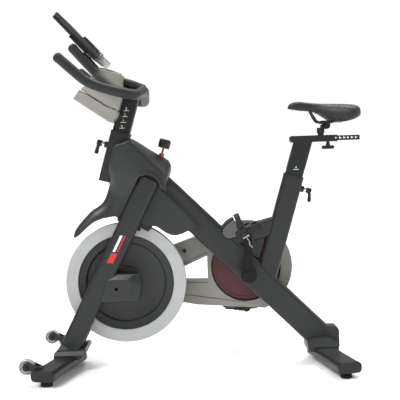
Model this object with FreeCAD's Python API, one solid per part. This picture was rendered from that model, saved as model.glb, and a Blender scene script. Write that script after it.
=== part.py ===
import FreeCAD, Part
import math
import os

# Indoor spin bike.  Millimetres.  +X is the rear of the bike, +Y the drive side, +Z up.
# The origin is on the floor, at the middle of the bike's length and width.

V = FreeCAD.Vector
UP = V(0, 0, 1)
ACROSS = V(0, 1, 0)

# ---------------------------------------------------------------- driving dimensions
LEAN = 16.6                      # degrees that both posts lean to the rear

FLYWHEEL_X, FLYWHEEL_Z = -260.0, 317.0
FLYWHEEL_R = 224.5
RIM_INNER_R = 178.0
RIM_HALF = 18.0
DISC_HALF = 9.0
HUB_R = 34.0
HUB_HALF = 33.0
AXLE_R = 10.0
RUNNING_GAP = 0.05

CRANK_X, CRANK_Z = 192.0, 350.0
CRANK_LENGTH = 170.0
CRANK_INNER_Y = 112.0
CRANK_THICK = 14.0
PEDAL_Y = 182.0

MAIN_SUM = 550.0                 # the main tube's centre line is X + Z = MAIN_SUM
MAIN_DEPTH, MAIN_WIDTH = 97.0, 52.0
MAIN_START, MAIN_END = -266.0, 520.0
MAIN_REAR_X, MAIN_FOOT_Z = 494.0, 57.0
TUBE_WALL = 3.0

POST_DEPTH, POST_WIDTH = 65.0, 40.0
SLEEVE_GAP = 0.3
SLEEVE_WALL = 2.2
OUTER_WALL = 2.5

HEAD_TOP = V(-258, 0, 872)
HEAD_LENGTH = 188.0
SEAT_TOP = V(374, 0, 693)
SEAT_TUBE_LENGTH = 400.0
BAR_POST_INSERT = 150.0
SEAT_POST_INSERT = 200.0
POST_REACH = 160.0               # post above its tube's top, before other parts trim it

LEG_Y = 52.0
LEG_DEPTH, LEG_WIDTH = 74.0, 30.0
LEG_FOOT = V(-472, 0, 86)
LEG_TOP = V(-154, 0, 700)

STAB_DEPTH, STAB_HEIGHT = 86.0, 36.0
STAB_BOTTOM = 22.0
STAB_SWEEP = 15.0
STAB_HALF = 238.0                # arm end before its cap
FRONT_STAB_X, REAR_STAB_X = -466.0, 454.0
CAP_LENGTH = 14.0
HEEL_HALF = 25.0                 # a little less than the main tube's half width

FOOT_Y = 222.0
FOOT_R, FOOT_H = 21.0, 18.0
STUD_R = 4.0

WHEEL_X, WHEEL_Z, WHEEL_Y = -595.0, 65.0, 208.0
WHEEL_R, WHEEL_HALF = 28.5, 11.0
WHEEL_BOLT_R = 4.0
BRAKE_PIVOT = (-272.0, 0.0, 558.0)
MAGNETS = ((-236.0, 524.0), (-205.0, 516.0))

GUARD_Y0, GUARD_Y1 = 70.0, 108.0
GUARD_R, GUARD_FRONT_R = 177.0, 57.0
GUARD_WALL = 2.5
GUARD_SCREWS = ((-41.0, 415.0), (-46.0, 224.0))
CRANK_BEARING_R = 19.0
PULLEY_R, SMALL_PULLEY_R = 130.0, 38.0
PULLEY_Y0, PULLEY_Y1 = 84.0, 96.0
BELT_THICK = 3.0
BELT_GAP = 0.3

SHROUD_HALF, FENDER_HALF = 72.0, 34.0
SHROUD_WALL = 3.0

BEAM_X0, BEAM_X1 = 363.0, 536.0
BEAM_Z0, BEAM_Z1 = 816.5, 840.5
BEAM_WIDTH = 40.0
SLIDER_X0, SLIDER_X1 = 415.0, 618.0
SLIDER_WIDTH = 33.0
STEM_X = 478.0
TILT_X, TILT_Z = 498.0, 875.0

BAR_R = 17.5
BAR_Y = 228.0
HORN_Y = 110.0

BEARING_R, BEARING_LENGTH = 19.5, 14.0
BRACKET_Y0, BRACKET_Y1 = 38.0, 56.0

SIDES = ((-1, "left"), (1, "right"))
OUT = "parts"
nodes = {}


# ---------------------------------------------------------------- helpers
def along(angle):
    """Unit vector leaning by angle degrees from +Z towards +X."""
    a = math.radians(angle)
    return V(math.sin(a), 0, math.cos(a))


def normal(angle):
    """Unit vector square to along(angle), towards +X."""
    a = math.radians(angle)
    return V(math.cos(a), 0, -math.sin(a))


def box(x0, x1, y0, y1, z0, z1):
    return Part.makeBox(x1 - x0, y1 - y0, z1 - z0, V(x0, y0, z0))


def rod(start, direction, radius, length):
    return Part.makeCylinder(radius, length, start, direction)


def ring(start, direction, outer, inner, length):
    return rod(start, direction, outer, length).cut(rod(start, direction, inner, length))


def profile(depth, width, length, corner):
    """Rounded bar standing on the XY plane, centred on Z."""
    bar = box(-depth / 2, depth / 2, -width / 2, width / 2, 0, length)
    if corner <= 0:
        return bar
    uprights = [e for e in bar.Edges if abs(e.Vertexes[0].Z - e.Vertexes[1].Z) > length / 2]
    return bar.makeFillet(corner, uprights)


def bar_between(start, end, depth, width, corner):
    """Rounded bar from start to end in a plane of constant Y."""
    run = end - start
    bar = profile(depth, width, run.Length, corner)
    turn = math.degrees(math.atan2(run.x, run.z))
    bar.Placement = FreeCAD.Placement(start, FreeCAD.Rotation(ACROSS, turn))
    return bar


def slab(points, y0, y1):
    """Flat plate with the given outline in X and Z, between two values of Y."""
    corners = [V(x, y0, z) for x, z in points]
    face = Part.Face(Part.makePolygon(corners + corners[:1]))
    return face.extrude(V(0, y1 - y0, 0))


def shell_of(points, y0, y1, wall):
    """Hollow slab, closed at y0's side and open at y1's side."""
    corners = [V(x, 0, z) for x, z in points]
    face = Part.Face(Part.makePolygon(corners + corners[:1]))
    inner = face.makeOffset2D(-wall)
    side = 1 if y1 > y0 else -1
    outer_solid = face.extrude(V(0, y1 - y0, 0))
    outer_solid.translate(V(0, y0, 0))
    inner_solid = inner.extrude(V(0, y1 - y0 - side * wall, 0))
    inner_solid.translate(V(0, y0 + side * wall, 0))
    return outer_solid.cut(inner_solid)


def mirrored(shape):
    return shape.mirror(V(0, 0, 0), ACROSS)


def cut_all(shape, tools):
    for tool in tools:
        shape = shape.cut(tool)
    return shape


def fuse_all(shapes):
    return shapes[0].multiFuse(shapes[1:]).removeSplitter()


def bent_tube(points, bends, radius):
    """Round bar along straight runs joined by tangent arcs, one bend radius per inner point."""
    edges = []
    last = points[0]
    for i in range(1, len(points) - 1):
        into = (points[i] - points[i - 1]).normalize()
        out = (points[i + 1] - points[i]).normalize()
        half = into.getAngle(out) / 2
        back = bends[i - 1] * math.tan(half)
        start = points[i] - into * back
        end = points[i] + out * back
        inward = (out - into).normalize()
        middle = points[i] + inward * bends[i - 1] * (1 / math.cos(half) - 1)
        edges.append(Part.LineSegment(last, start).toShape())
        edges.append(Part.Arc(start, middle, end).toShape())
        last = end
    edges.append(Part.LineSegment(last, points[-1]).toShape())
    path = Part.Wire(edges)
    first = (points[1] - points[0]).normalize()
    circle = Part.Wire(Part.makeCircle(radius, points[0], first))
    return path.makePipeShell([circle], True, True)


def belt_outline(front_r, rear_r, y0, y1):
    """Solid inside a loop drawn tight round the flywheel axle and the crank axle."""
    front = V(FLYWHEEL_X, y0, FLYWHEEL_Z)
    rear = V(CRANK_X, y0, CRANK_Z)
    span = rear - front
    tilt = math.atan2(span.z, span.x)
    lift = math.acos((front_r - rear_r) / span.Length)
    corners = []
    for sign in (1, -1):
        direction = V(math.cos(tilt + sign * lift), 0, math.sin(tilt + sign * lift))
        corners.append((front + direction * front_r, rear + direction * rear_r))
    (top_f, top_r), (low_f, low_r) = corners
    middle = Part.Face(Part.makePolygon([top_f, top_r, low_r, low_f, top_f]))
    middle = middle.extrude(V(0, y1 - y0, 0))
    ends = [rod(front, ACROSS, front_r, y1 - y0), rod(rear, ACROSS, rear_r, y1 - y0)]
    return fuse_all([middle] + ends)


def add(name, shape):
    nodes[name] = shape


# ---------------------------------------------------------------- frame tubes
def post_line(top, distance):
    """Point on a leaning post's axis, distance below its tube's top."""
    return top - along(LEAN) * distance


TUBE_DEPTH = POST_DEPTH + 2 * (SLEEVE_GAP + SLEEVE_WALL + OUTER_WALL)
TUBE_WIDTH = POST_WIDTH + 2 * (SLEEVE_GAP + SLEEVE_WALL + OUTER_WALL)
SLEEVE_DEPTH = POST_DEPTH + 2 * (SLEEVE_GAP + SLEEVE_WALL)
SLEEVE_WIDTH = POST_WIDTH + 2 * (SLEEVE_GAP + SLEEVE_WALL)
LEVER_DROP_BAR, LEVER_DROP_SEAT = 55.0, 38.0
BOSS_R, BOSS_LENGTH = 12.0, 11.0
SCREW_R = 5.0
BRAKE_AXIS_FOOT = V(-114, 0, 779)


def outer_tube(top, length):
    return bar_between(post_line(top, length), top, TUBE_DEPTH, TUBE_WIDTH, 12)


def tube_bore(top, length):
    return bar_between(post_line(top, length + 5), post_line(top, -5), SLEEVE_DEPTH, SLEEVE_WIDTH, 9.5)


def main_point(x):
    return V(x, 0, MAIN_SUM - x)


def main_bar(shrink):
    """Main tube shrunk all round by shrink; its lower end is cut level and upright."""
    bar = bar_between(main_point(MAIN_START), main_point(MAIN_END), MAIN_DEPTH - 2 * shrink,
                      MAIN_WIDTH - 2 * shrink, 13 - shrink)
    rear, low, half = MAIN_REAR_X - shrink, MAIN_FOOT_Z + shrink, MAIN_WIDTH
    beyond = slab([(rear, low - 200), (rear, 122), (rear - 8, 138), (rear - 26, 149),
                   (rear - 26, 260), (rear + 200, 260), (rear + 200, low - 200)], -half, half)
    under = box(300, 700, -half, half, low - 300, low)
    return cut_all(bar, [beyond, under])


main_outer = main_bar(0)
main_inner = main_bar(TUBE_WALL)
head_outer = outer_tube(HEAD_TOP, HEAD_LENGTH)
seat_outer = outer_tube(SEAT_TOP, SEAT_TUBE_LENGTH)
shell_bb = rod(V(CRANK_X, -48, CRANK_Z), ACROSS, 27, 96)


def stabiliser_outer(centre_x, sweep_sign):
    """V of two swept arms; sweep_sign is -1 for arms that point forward, +1 rearward."""
    arms = []
    for side in (-1, 1):
        arms.append(stabiliser_arm(centre_x, sweep_sign, side, -12, STAB_HALF, 0))
    return fuse_all(arms)


def stabiliser_arm(centre_x, sweep_sign, side, from_y, to_y, shrink):
    """One arm between two distances from the middle plane, shrunk all round by shrink."""
    length = (to_y - from_y) / math.cos(math.radians(STAB_SWEEP))
    arm = profile(STAB_DEPTH - 2 * shrink, STAB_HEIGHT - 2 * shrink, length, 14 - shrink)
    arm.rotate(V(0, 0, 0), V(1, 0, 0), -90 * side)
    arm.rotate(V(0, 0, 0), UP, -side * sweep_sign * STAB_SWEEP)
    start_x = centre_x + sweep_sign * from_y * math.tan(math.radians(STAB_SWEEP))
    arm.translate(V(start_x, side * from_y, STAB_BOTTOM + STAB_HEIGHT / 2))
    return arm


front_stab_outer = stabiliser_outer(FRONT_STAB_X, -1)
rear_stab_outer = stabiliser_outer(REAR_STAB_X, 1)


def leg_bar(side, shrink):
    """Front leg shrunk all round by shrink, and closed at its top."""
    shift = V(0, side * LEG_Y, 0)
    slope = (LEG_TOP - LEG_FOOT).normalize()
    return bar_between(LEG_FOOT + shift, LEG_TOP + shift - slope * shrink,
                       LEG_DEPTH - 2 * shrink, LEG_WIDTH - 2 * shrink, 14.9 - shrink)


legs = {"left": leg_bar(-1, 0), "right": leg_bar(1, 0)}
leg_hollows = {"left": leg_bar(-1, TUBE_WALL), "right": leg_bar(1, TUBE_WALL)}
brake_hole = rod(BRAKE_AXIS_FOOT - along(LEAN) * 200, along(LEAN), 6, 260)


def foot_x(centre_x, sweep_sign):
    return centre_x + sweep_sign * FOOT_Y * math.tan(math.radians(STAB_SWEEP))


def stud_holes(centre_x, sweep_sign):
    x = foot_x(centre_x, sweep_sign)
    return [rod(V(x, side * FOOT_Y, STAB_BOTTOM - 1), UP, STUD_R + 0.3, 30) for side in (-1, 1)]


def make_frame():
    crown = box(-196, -112, -LEG_Y + LEG_WIDTH / 2, LEG_Y - LEG_WIDTH / 2, 655, 722)
    tube = fuse_all([main_outer.cut(main_inner), crown.cut(main_outer), shell_bb])
    axle_room = rod(V(CRANK_X, -60, CRANK_Z), ACROSS, CRANK_BEARING_R, 120)
    add("main_tube", cut_all(tube, [head_outer, axle_room, rear_stab_outer, brake_hole,
                                    legs["left"], legs["right"]]))
    for name, top, length, drop, sign in (
            ("head_tube", HEAD_TOP, HEAD_LENGTH, LEVER_DROP_BAR, -1),
            ("seat_tube", SEAT_TOP, SEAT_TUBE_LENGTH, LEVER_DROP_SEAT, 1)):
        tube = outer_tube(top, length).cut(tube_bore(top, length))
        start = post_line(top, drop) + normal(LEAN) * sign * (TUBE_DEPTH / 2 - 0.5)
        boss = rod(start, normal(LEAN) * sign, BOSS_R, BOSS_LENGTH + 0.5)
        tube = tube.fuse(boss.cut(tube_bore(top, length)))
        screw = rod(post_line(top, drop), normal(LEAN) * sign, SCREW_R + RUNNING_GAP, 80)
        tube = tube.cut(screw).removeSplitter()
        if name == "seat_tube":
            tube = tube.cut(main_outer)
        add(name, tube)
    cross = bar_between(V(92, 0, 460), V(300, 0, 513), 66, 44, 12)
    gusset = slab([(112, 470), (262, 470), (240, 395), (160, 412)], -4, 4)
    cross = cross.fuse(gusset)
    add("cross_tube", cut_all(cross, [main_outer, seat_outer, shell_bb]).removeSplitter())
    outline = [(-352, 357), (-208, 355), (-205, 252), (-352, 250)]
    bearing_bore = rod(V(FLYWHEEL_X, -80, FLYWHEEL_Z), ACROSS, BEARING_R, 160)
    for side, name in SIDES:
        y0, y1 = sorted((side * BRACKET_Y0, side * BRACKET_Y1))
        leg = legs[name].fuse(slab(outline, y0, y1)).removeSplitter()
        add("front_leg_" + name, cut_all(leg, [leg_hollows[name], front_stab_outer,
                                               bearing_bore]))


def make_stabilisers():
    caps = []
    for end, centre_x, sweep_sign, outer in (("front", FRONT_STAB_X, -1, front_stab_outer),
                                             ("rear", REAR_STAB_X, 1, rear_stab_outer)):
        hollows = [stabiliser_arm(centre_x, sweep_sign, side, 14, STAB_HALF + 2, TUBE_WALL)
                   for side in (-1, 1)]
        tube = cut_all(outer, hollows + stud_holes(centre_x, sweep_sign))
        if end == "front":
            tube = tube.multiFuse([wheel_bracket(side) for side in (-1, 1)]).removeSplitter()
        add(end + "_stabiliser", tube)
        for side in (-1, 1):
            caps.append(stabiliser_arm(centre_x, sweep_sign, side, STAB_HALF,
                                       STAB_HALF + CAP_LENGTH, -1))
        x = foot_x(centre_x, sweep_sign)
        for side, name in SIDES:
            pad = Part.makeCone(FOOT_R, FOOT_R - 3, FOOT_H, V(x, side * FOOT_Y, 0), UP)
            stud = rod(V(x, side * FOOT_Y, FOOT_H - 1), UP, STUD_R, 26)
            add("foot_" + end + "_" + name, pad.fuse(stud))
    add("end_caps", Part.makeCompound(caps))
    front = slab([(-531, 42), (-529, 70), (-518, 80), (-452, 79), (-415, 84), (-411, 70),
                  (-436, 46)], -76, 76)
    front = cut_all(front, cover_slopes(66, 76, 77, 61))
    front = biggest(cut_all(front, [front_stab_outer, legs["left"], legs["right"]]))
    rear = slab([(407, 46), (405, 80), (418, 91), (488, 95), (499, 88), (519, 76), (519, 46)],
                -58, 58)
    rear = cut_all(rear, cover_slopes(30, 92, 59, 61))
    heel = slab([(440, 50), (440, 131), (514, 130), (523, 124), (527, 113), (527, 52)],
                -HEEL_HALF, HEEL_HALF)
    rear = biggest(cut_all(rear.fuse(heel), [rear_stab_outer, main_outer]))
    add("junction_covers", Part.makeCompound([front, rear]))


def cover_slopes(inner_y, inner_z, outer_y, outer_z):
    """Tools that slope a cover's top down to its ends, one for each side."""
    tools = []
    for side in (-1, 1):
        corners = [(inner_y, 160), (inner_y, inner_z), (outer_y, outer_z), (130, outer_z),
                   (130, 160)]
        outline = [V(-700, side * y, z) for y, z in corners]
        face = Part.Face(Part.makePolygon(outline + outline[:1]))
        tools.append(face.extrude(V(1400, 0, 0)))
    return tools


def biggest(shape):
    """The solid of largest volume in a cut result."""
    return max(shape.Solids, key=lambda s: s.Volume)


def wheel_bracket(side):
    """Two cheeks and a bridge that carry one transport wheel."""
    outline = [(-606, 56), (-604, 78), (-590, 86), (-548, 66), (-540, 58), (-560, 50)]
    y = side * WHEEL_Y
    cheeks = []
    for offset in (-1, 1):
        y0 = y + offset * (WHEEL_HALF + 1.5)
        y1 = y0 + offset * 3
        cheeks.append(slab(outline, min(y0, y1), max(y0, y1)))
    bridge = box(-562, -540, y - WHEEL_HALF - 4.5, y + WHEEL_HALF + 4.5, 58, 64)
    clear = rod(V(WHEEL_X, y - WHEEL_HALF - 1.5, WHEEL_Z), ACROSS, WHEEL_R + 1.5,
                2 * WHEEL_HALF + 3)
    hole = rod(V(WHEEL_X, y - 30, WHEEL_Z), ACROSS, WHEEL_BOLT_R, 60)
    return cut_all(fuse_all(cheeks + [bridge]), [front_stab_outer, clear, hole])


def make_transport_wheels():
    bolts = [rod(V(*BRAKE_PIVOT) - ACROSS * 31, ACROSS, WHEEL_BOLT_R, 62)]
    for side, name in SIDES:
        y = side * WHEEL_Y
        tyre = rod(V(WHEEL_X, y - WHEEL_HALF, WHEEL_Z), ACROSS, WHEEL_R, 2 * WHEEL_HALF)
        rims = [e for e in tyre.Edges if isinstance(e.Curve, Part.Circle)]
        tyre = tyre.makeFillet(3, rims)
        bore = rod(V(WHEEL_X, y - 20, WHEEL_Z), ACROSS, WHEEL_BOLT_R + RUNNING_GAP, 40)
        add("transport_wheel_" + name, tyre.cut(bore))
        bolt = rod(V(WHEEL_X, y - WHEEL_HALF - 4.5, WHEEL_Z), ACROSS, WHEEL_BOLT_R,
                   2 * WHEEL_HALF + 9)
        heads = [rod(V(WHEEL_X, y + s * (WHEEL_HALF + 4.5), WHEEL_Z), ACROSS * s, 7, 4)
                 for s in (-1, 1)]
        bolts.append(fuse_all([bolt] + heads))
    add("frame_bolts", Part.makeCompound(bolts))


# ---------------------------------------------------------------- flywheel and drive
def make_flywheel():
    x, z = FLYWHEEL_X, FLYWHEEL_Z
    rim = ring(V(x, -RIM_HALF, z), ACROSS, FLYWHEEL_R, RIM_INNER_R, 2 * RIM_HALF)
    corners = [e for e in rim.Edges if isinstance(e.Curve, Part.Circle)]
    add("flywheel_rim", rim.makeChamfer(2, corners))
    disc = rod(V(x, -DISC_HALF, z), ACROSS, RIM_INNER_R, 2 * DISC_HALF)
    raised = ring(V(x, -DISC_HALF - 3, z), ACROSS, 149, 141, 2 * DISC_HALF + 6)
    hub = rod(V(x, -HUB_HALF, z), ACROSS, HUB_R, 2 * HUB_HALF)
    disc = fuse_all([disc, raised, hub])
    add("flywheel_disc", disc.cut(rod(V(x, -60, z), ACROSS, AXLE_R, 120)))
    axle = rod(V(x, -66, z), ACROSS, AXLE_R, 66 + PULLEY_Y1 + 4)
    pulley = rod(V(x, PULLEY_Y0, z), ACROSS, SMALL_PULLEY_R, PULLEY_Y1 - PULLEY_Y0)
    add("flywheel_axle", axle.fuse(pulley).removeSplitter())
    cover = slab([(-352, 360), (-204, 358), (-201, 249), (-352, 247)], -70, -BRACKET_Y1)
    hollow = slab([(-349, 357), (-207, 355), (-204, 252), (-349, 250)], -67, -BRACKET_Y1)
    access = rod(V(-291, -90, 303), ACROSS, 7, 60)
    add("axle_cover", biggest(cut_all(cover, [hollow, legs["left"], access])))


def make_bearings():
    rings = []
    for x, z, start in ((FLYWHEEL_X, FLYWHEEL_Z, 40), (CRANK_X, CRANK_Z, 34)):
        outer = BEARING_R if x < 0 else CRANK_BEARING_R
        for side in (-1, 1):
            rings.append(ring(V(x, side * start, z), ACROSS * side, outer,
                              AXLE_R + RUNNING_GAP, BEARING_LENGTH))
    add("axle_bearings", Part.makeCompound(rings))


def make_drive():
    x, z = CRANK_X, CRANK_Z
    axle_y = CRANK_INNER_Y + CRANK_THICK
    add("crank_axle", rod(V(x, -axle_y, z), ACROSS, AXLE_R, 2 * axle_y))
    pulley = rod(V(x, PULLEY_Y0, z), ACROSS, PULLEY_R, PULLEY_Y1 - PULLEY_Y0)
    recess = ring(V(x, PULLEY_Y0 - 1, z), ACROSS, PULLEY_R - 12, 34, 5)
    add("drive_pulley", cut_all(pulley, [recess, rod(V(x, 60, z), ACROSS, AXLE_R, 60)]))
    y0, y1 = PULLEY_Y0 + 1, PULLEY_Y1 - 1
    belt_in = belt_outline(SMALL_PULLEY_R + BELT_GAP, PULLEY_R + BELT_GAP, y0 - 1, y1 + 1)
    belt_out = belt_outline(SMALL_PULLEY_R + BELT_GAP + BELT_THICK,
                            PULLEY_R + BELT_GAP + BELT_THICK, y0, y1)
    add("drive_belt", belt_out.cut(belt_in))
    window = [(-150, 309), (44, 396), (44, 303)]
    rim_window = [(-158, 304), (48, 402), (48, 298)]
    below = slab([(-47, 211), (261, 187), (261, 100), (-47, 100)], GUARD_Y0 - 1, GUARD_Y1 + 1)
    dish = belt_outline(GUARD_FRONT_R, GUARD_R, GUARD_Y0 + 3, GUARD_Y1).cut(below)
    hollow = belt_outline(GUARD_FRONT_R - GUARD_WALL, GUARD_R - GUARD_WALL, GUARD_Y0 + 3,
                          GUARD_Y1 - GUARD_WALL)
    floor = below.copy()
    floor.translate(V(0, 0, GUARD_WALL))
    hollow = cut_all(hollow, [slab(rim_window, GUARD_Y0, GUARD_Y1), floor])
    opening = slab(window, GUARD_Y0 - 1, GUARD_Y1 + 1)
    axle_hole = rod(V(x, GUARD_Y0, z), ACROSS, 22, 60)
    add("belt_guard_outer", cut_all(dish, [hollow, opening, axle_hole]))
    plate = belt_outline(GUARD_FRONT_R, GUARD_R, GUARD_Y0, GUARD_Y0 + 3)
    view = rod(V(x, GUARD_Y0 - 1, z), ACROSS, PULLEY_R + 4, 5)
    front_hole = rod(V(FLYWHEEL_X, GUARD_Y0 - 1, FLYWHEEL_Z), ACROSS, 24, 5)
    plate = cut_all(plate, [view, opening, front_hole, below])
    screws = [rod(V(screw_x, GUARD_Y0 - 4, screw_z), ACROSS, 6, 4)
              for screw_x, screw_z in GUARD_SCREWS]
    add("belt_guard_inner", plate.multiFuse(screws).removeSplitter())


def make_cranks():
    tip_r, web_half, spindle_r = 16.0, 14.0, 7.0
    spindles = []
    for side, name in SIDES:
        up = -side
        y0, y1 = sorted((side * CRANK_INNER_Y, side * (CRANK_INNER_Y + CRANK_THICK)))
        eye_z = CRANK_Z + up * CRANK_LENGTH
        boss = rod(V(CRANK_X, y0, CRANK_Z), ACROSS, 30, CRANK_THICK)
        tip = rod(V(CRANK_X, y0, eye_z), ACROSS, tip_r, CRANK_THICK)
        low, high = sorted((CRANK_Z, eye_z))
        web = box(CRANK_X - web_half, CRANK_X + web_half, y0, y1, low, high)
        out = side * (CRANK_INNER_Y + CRANK_THICK)
        cap = rod(V(CRANK_X, out, CRANK_Z), ACROSS * side, 17, 4)
        arm = fuse_all([boss, tip, web])
        arm = arm.cut(rod(V(CRANK_X, y0 - 1, CRANK_Z), ACROSS, AXLE_R, CRANK_THICK + 2))
        arm = arm.cut(rod(V(CRANK_X, y0 - 1, eye_z), ACROSS, spindle_r, CRANK_THICK + 2))
        add("crank_" + name, arm.fuse(cap).removeSplitter())
        start = V(CRANK_X, side * CRANK_INNER_Y, eye_z)
        spindles.append(rod(start, ACROSS * side, spindle_r, PEDAL_Y + 46 - CRANK_INNER_Y))
    add("pedal_spindles", Part.makeCompound(spindles))


def pedal_place(shape, side, tilt):
    """Moves a pedal piece from its own frame (toe +X, out +Y) to its crank."""
    shape = shape.copy()
    if side < 0:
        shape.rotate(V(0, 0, 0), UP, 180)
    else:
        shape = mirrored(shape)
        shape.rotate(V(0, 0, 0), UP, 180)
    shape.rotate(V(0, 0, 0), ACROSS, -tilt)
    eye_z = CRANK_Z - side * CRANK_LENGTH
    shape.translate(V(CRANK_X, side * PEDAL_Y, eye_z))
    return shape


def pedal_body():
    body = profile(92, 84, 24, 10)
    body.translate(V(2, 0, -12))
    for x in (-26, 26):
        body = body.cut(box(x - 11, x + 11, -30, 30, -20, 20))
    return body.cut(rod(V(0, -60, 0), ACROSS, 7 + RUNNING_GAP, 120))


def toe_cage():
    """Plastic cage that starts under the pedal's front and arches over the toe."""
    outer = [(48, -10), (78, -6), (92, 8), (94, 26), (84, 44), (60, 56), (34, 60)]
    inner = [(34, 56), (58, 52), (80, 41), (90, 25), (88, 10), (76, -2), (48, -6)]
    hoop = slab(outer + inner, -36, 36)
    slot = slab([(56, -20), (110, -20), (110, 30), (56, 30)], -20, 20)
    return hoop.cut(slot)


def toe_strap():
    """Band round the pedal and over the foot, with its buckle on the outer side."""
    band = profile(79, 98, 20, 8).cut(profile(74, 93, 20, 5.5))
    band.rotate(V(0, 0, 0), ACROSS, 90)
    band.translate(V(11, 0, 24))
    frame = box(7, 35, 49, 54, 8, 30).cut(box(14, 28, 49, 55, 14, 24))
    return band.fuse(frame).removeSplitter()


def make_pedals():
    for (side, name), tilt in zip(SIDES, (21, 4)):
        for piece, shape in (("pedal_body_", pedal_body()), ("toe_cage_", toe_cage()),
                             ("toe_strap_", toe_strap())):
            add(piece + name, pedal_place(shape, side, tilt))


# ---------------------------------------------------------------- brake
def make_brake():
    axis = along(LEAN)
    foot = BRAKE_AXIS_FOOT
    bushing = ring(foot - axis * 12, axis, 9.5, 3.5 + RUNNING_GAP, 26)
    add("brake_bushing", bushing)
    shaft = rod(foot - axis * 214, axis, 3.5, 214 + 52)
    add("brake_shaft", shaft)
    cap = rod(foot + axis * 38, axis, 22.5, 30)
    rims = [e for e in cap.Edges if isinstance(e.Curve, Part.Circle)]
    cap = cap.makeFillet(4, rims[:1])
    add("brake_knob", cap.cut(rod(foot, axis, 3.5 + RUNNING_GAP, 100)))
    outline = [(-282, 548), (-282, 566), (-262, 574), (-200, 567), (-160, 548), (-150, 528),
               (-170, 505), (-190, 517), (-215, 532), (-250, 541)]
    yoke = slab(outline, -27, 27)
    slot = rod(V(FLYWHEEL_X, -RIM_HALF - 3, FLYWHEEL_Z), ACROSS, FLYWHEEL_R + 5,
               2 * RIM_HALF + 6)
    pivot = rod(V(*BRAKE_PIVOT) - ACROSS * 40, ACROSS, WHEEL_BOLT_R + RUNNING_GAP, 80)
    yoke = cut_all(yoke, [slot, pivot, rod(foot - axis * 300, axis, 6, 200)])
    magnets = []
    for magnet_x, magnet_z in MAGNETS:
        for side in (-1, 1):
            magnets.append(rod(V(magnet_x, side * 21, magnet_z), ACROSS * -side, 8, 1.5))
    add("brake_yoke", yoke.multiFuse(magnets).removeSplitter())


# ---------------------------------------------------------------- covers
def shroud_outline():
    upper = [(-221, 850), (-284, 831), (-300, 777), (-311, 740), (-309, 688), (-250, 690),
             (-182, 716), (-141, 707), (-124, 679), (-99, 655), (-84, 700), (-78, 742),
             (-93, 768)]
    lower = [(-300, 777), (-311, 740), (-309, 688), (-334, 621), (-377, 590), (-406, 562),
             (-443, 519), (-451, 487), (-424, 508), (-376, 544), (-323, 562), (-264, 569),
             (-185, 545), (-141, 531), (-86, 496), (-65, 490), (-26, 503), (22, 524),
             (20, 535), (-29, 593), (-99, 661), (-141, 712), (-200, 760)]
    return upper, lower


def make_shroud():
    upper, lower = shroud_outline()
    cut_by = [main_outer, head_outer, legs["left"], legs["right"],
              rod(BRAKE_AXIS_FOOT - along(LEAN) * 60, along(LEAN), 9.8, 120),
              rod(V(FLYWHEEL_X, -31, FLYWHEEL_Z), ACROSS, FLYWHEEL_R + 7, 62),
              yoke_room(), nodes["main_tube"]]
    for side, name in SIDES:
        wide = shell_of(upper, side * SHROUD_HALF, 0, SHROUD_WALL)
        slim = shell_of(lower, side * FENDER_HALF, 0, SHROUD_WALL)
        wide_core = slab(upper, *sorted((0, side * (SHROUD_HALF - SHROUD_WALL))))
        shell = wide.fuse(slim.cut(wide_core))
        inner = Part.Face(Part.makePolygon([V(x, 0, z) for x, z in lower + lower[:1]]))
        inner = inner.makeOffset2D(-SHROUD_WALL)
        hollow = inner.extrude(V(0, side * (FENDER_HALF - SHROUD_WALL), 0))
        shell = cut_all(shell, [hollow] + cut_by)
        add("shroud_" + name, biggest(shell))


def yoke_room():
    """Space that the brake yoke and its pin need inside the fender."""
    return slab([(-290, 530), (-290, 582), (-196, 580), (-146, 556), (-140, 520), (-170, 495)],
                -30.9, 30.9)


def make_sleeves():
    sleeves = []
    for top, drop, sign in ((HEAD_TOP, LEVER_DROP_BAR, -1), (SEAT_TOP, LEVER_DROP_SEAT, 1)):
        body = bar_between(post_line(top, 78), top, SLEEVE_DEPTH, SLEEVE_WIDTH, 9.5)
        lip = bar_between(top, post_line(top, -4), TUBE_DEPTH + 3, TUBE_WIDTH + 3, 13)
        bore = bar_between(post_line(top, 90), post_line(top, -10), POST_DEPTH + 2 * SLEEVE_GAP,
                           POST_WIDTH + 2 * SLEEVE_GAP, 7.3)
        screw = rod(post_line(top, drop), normal(LEAN) * sign, SCREW_R + 0.4, 80)
        sleeves.append(cut_all(body.fuse(lip), [bore, screw]))
    add("post_sleeves", Part.makeCompound([s for sleeve in sleeves for s in sleeve.Solids]))


# ---------------------------------------------------------------- posts, levers, seat
def post_bar(top, insert, reach):
    outer = bar_between(post_line(top, insert), post_line(top, -reach), POST_DEPTH, POST_WIDTH, 7)
    inner = bar_between(post_line(top, insert + 1), post_line(top, -reach + 6), POST_DEPTH - 6,
                        POST_WIDTH - 6, 4)
    return outer, outer.cut(inner)


def make_levers():
    for name, top, drop, sign in (("bar", HEAD_TOP, LEVER_DROP_BAR, -1),
                                  ("seat", SEAT_TOP, LEVER_DROP_SEAT, 1)):
        out = normal(LEAN) * sign
        axis_point = post_line(top, drop)
        tip = POST_DEPTH / 2 + 0.3
        face = TUBE_DEPTH / 2 + BOSS_LENGTH
        screw = rod(axis_point + out * tip, out, SCREW_R, face - tip + 14)
        collar = rod(axis_point + out * (face + 1), out, 8.5, 9)
        hub_start = axis_point + out * (face + 10)
        hub = rod(hub_start, out, 11, 20)
        swing = V(out.x * 0.25, 0, -0.97).normalize()
        neck = hub_start + out * 13
        arm = rod(neck, swing, 6.5, 34)
        tip_ball = Part.makeSphere(7.2, neck + swing * 36)
        add(name + "_lever", fuse_all([screw, collar, hub, arm, tip_ball]))


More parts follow.
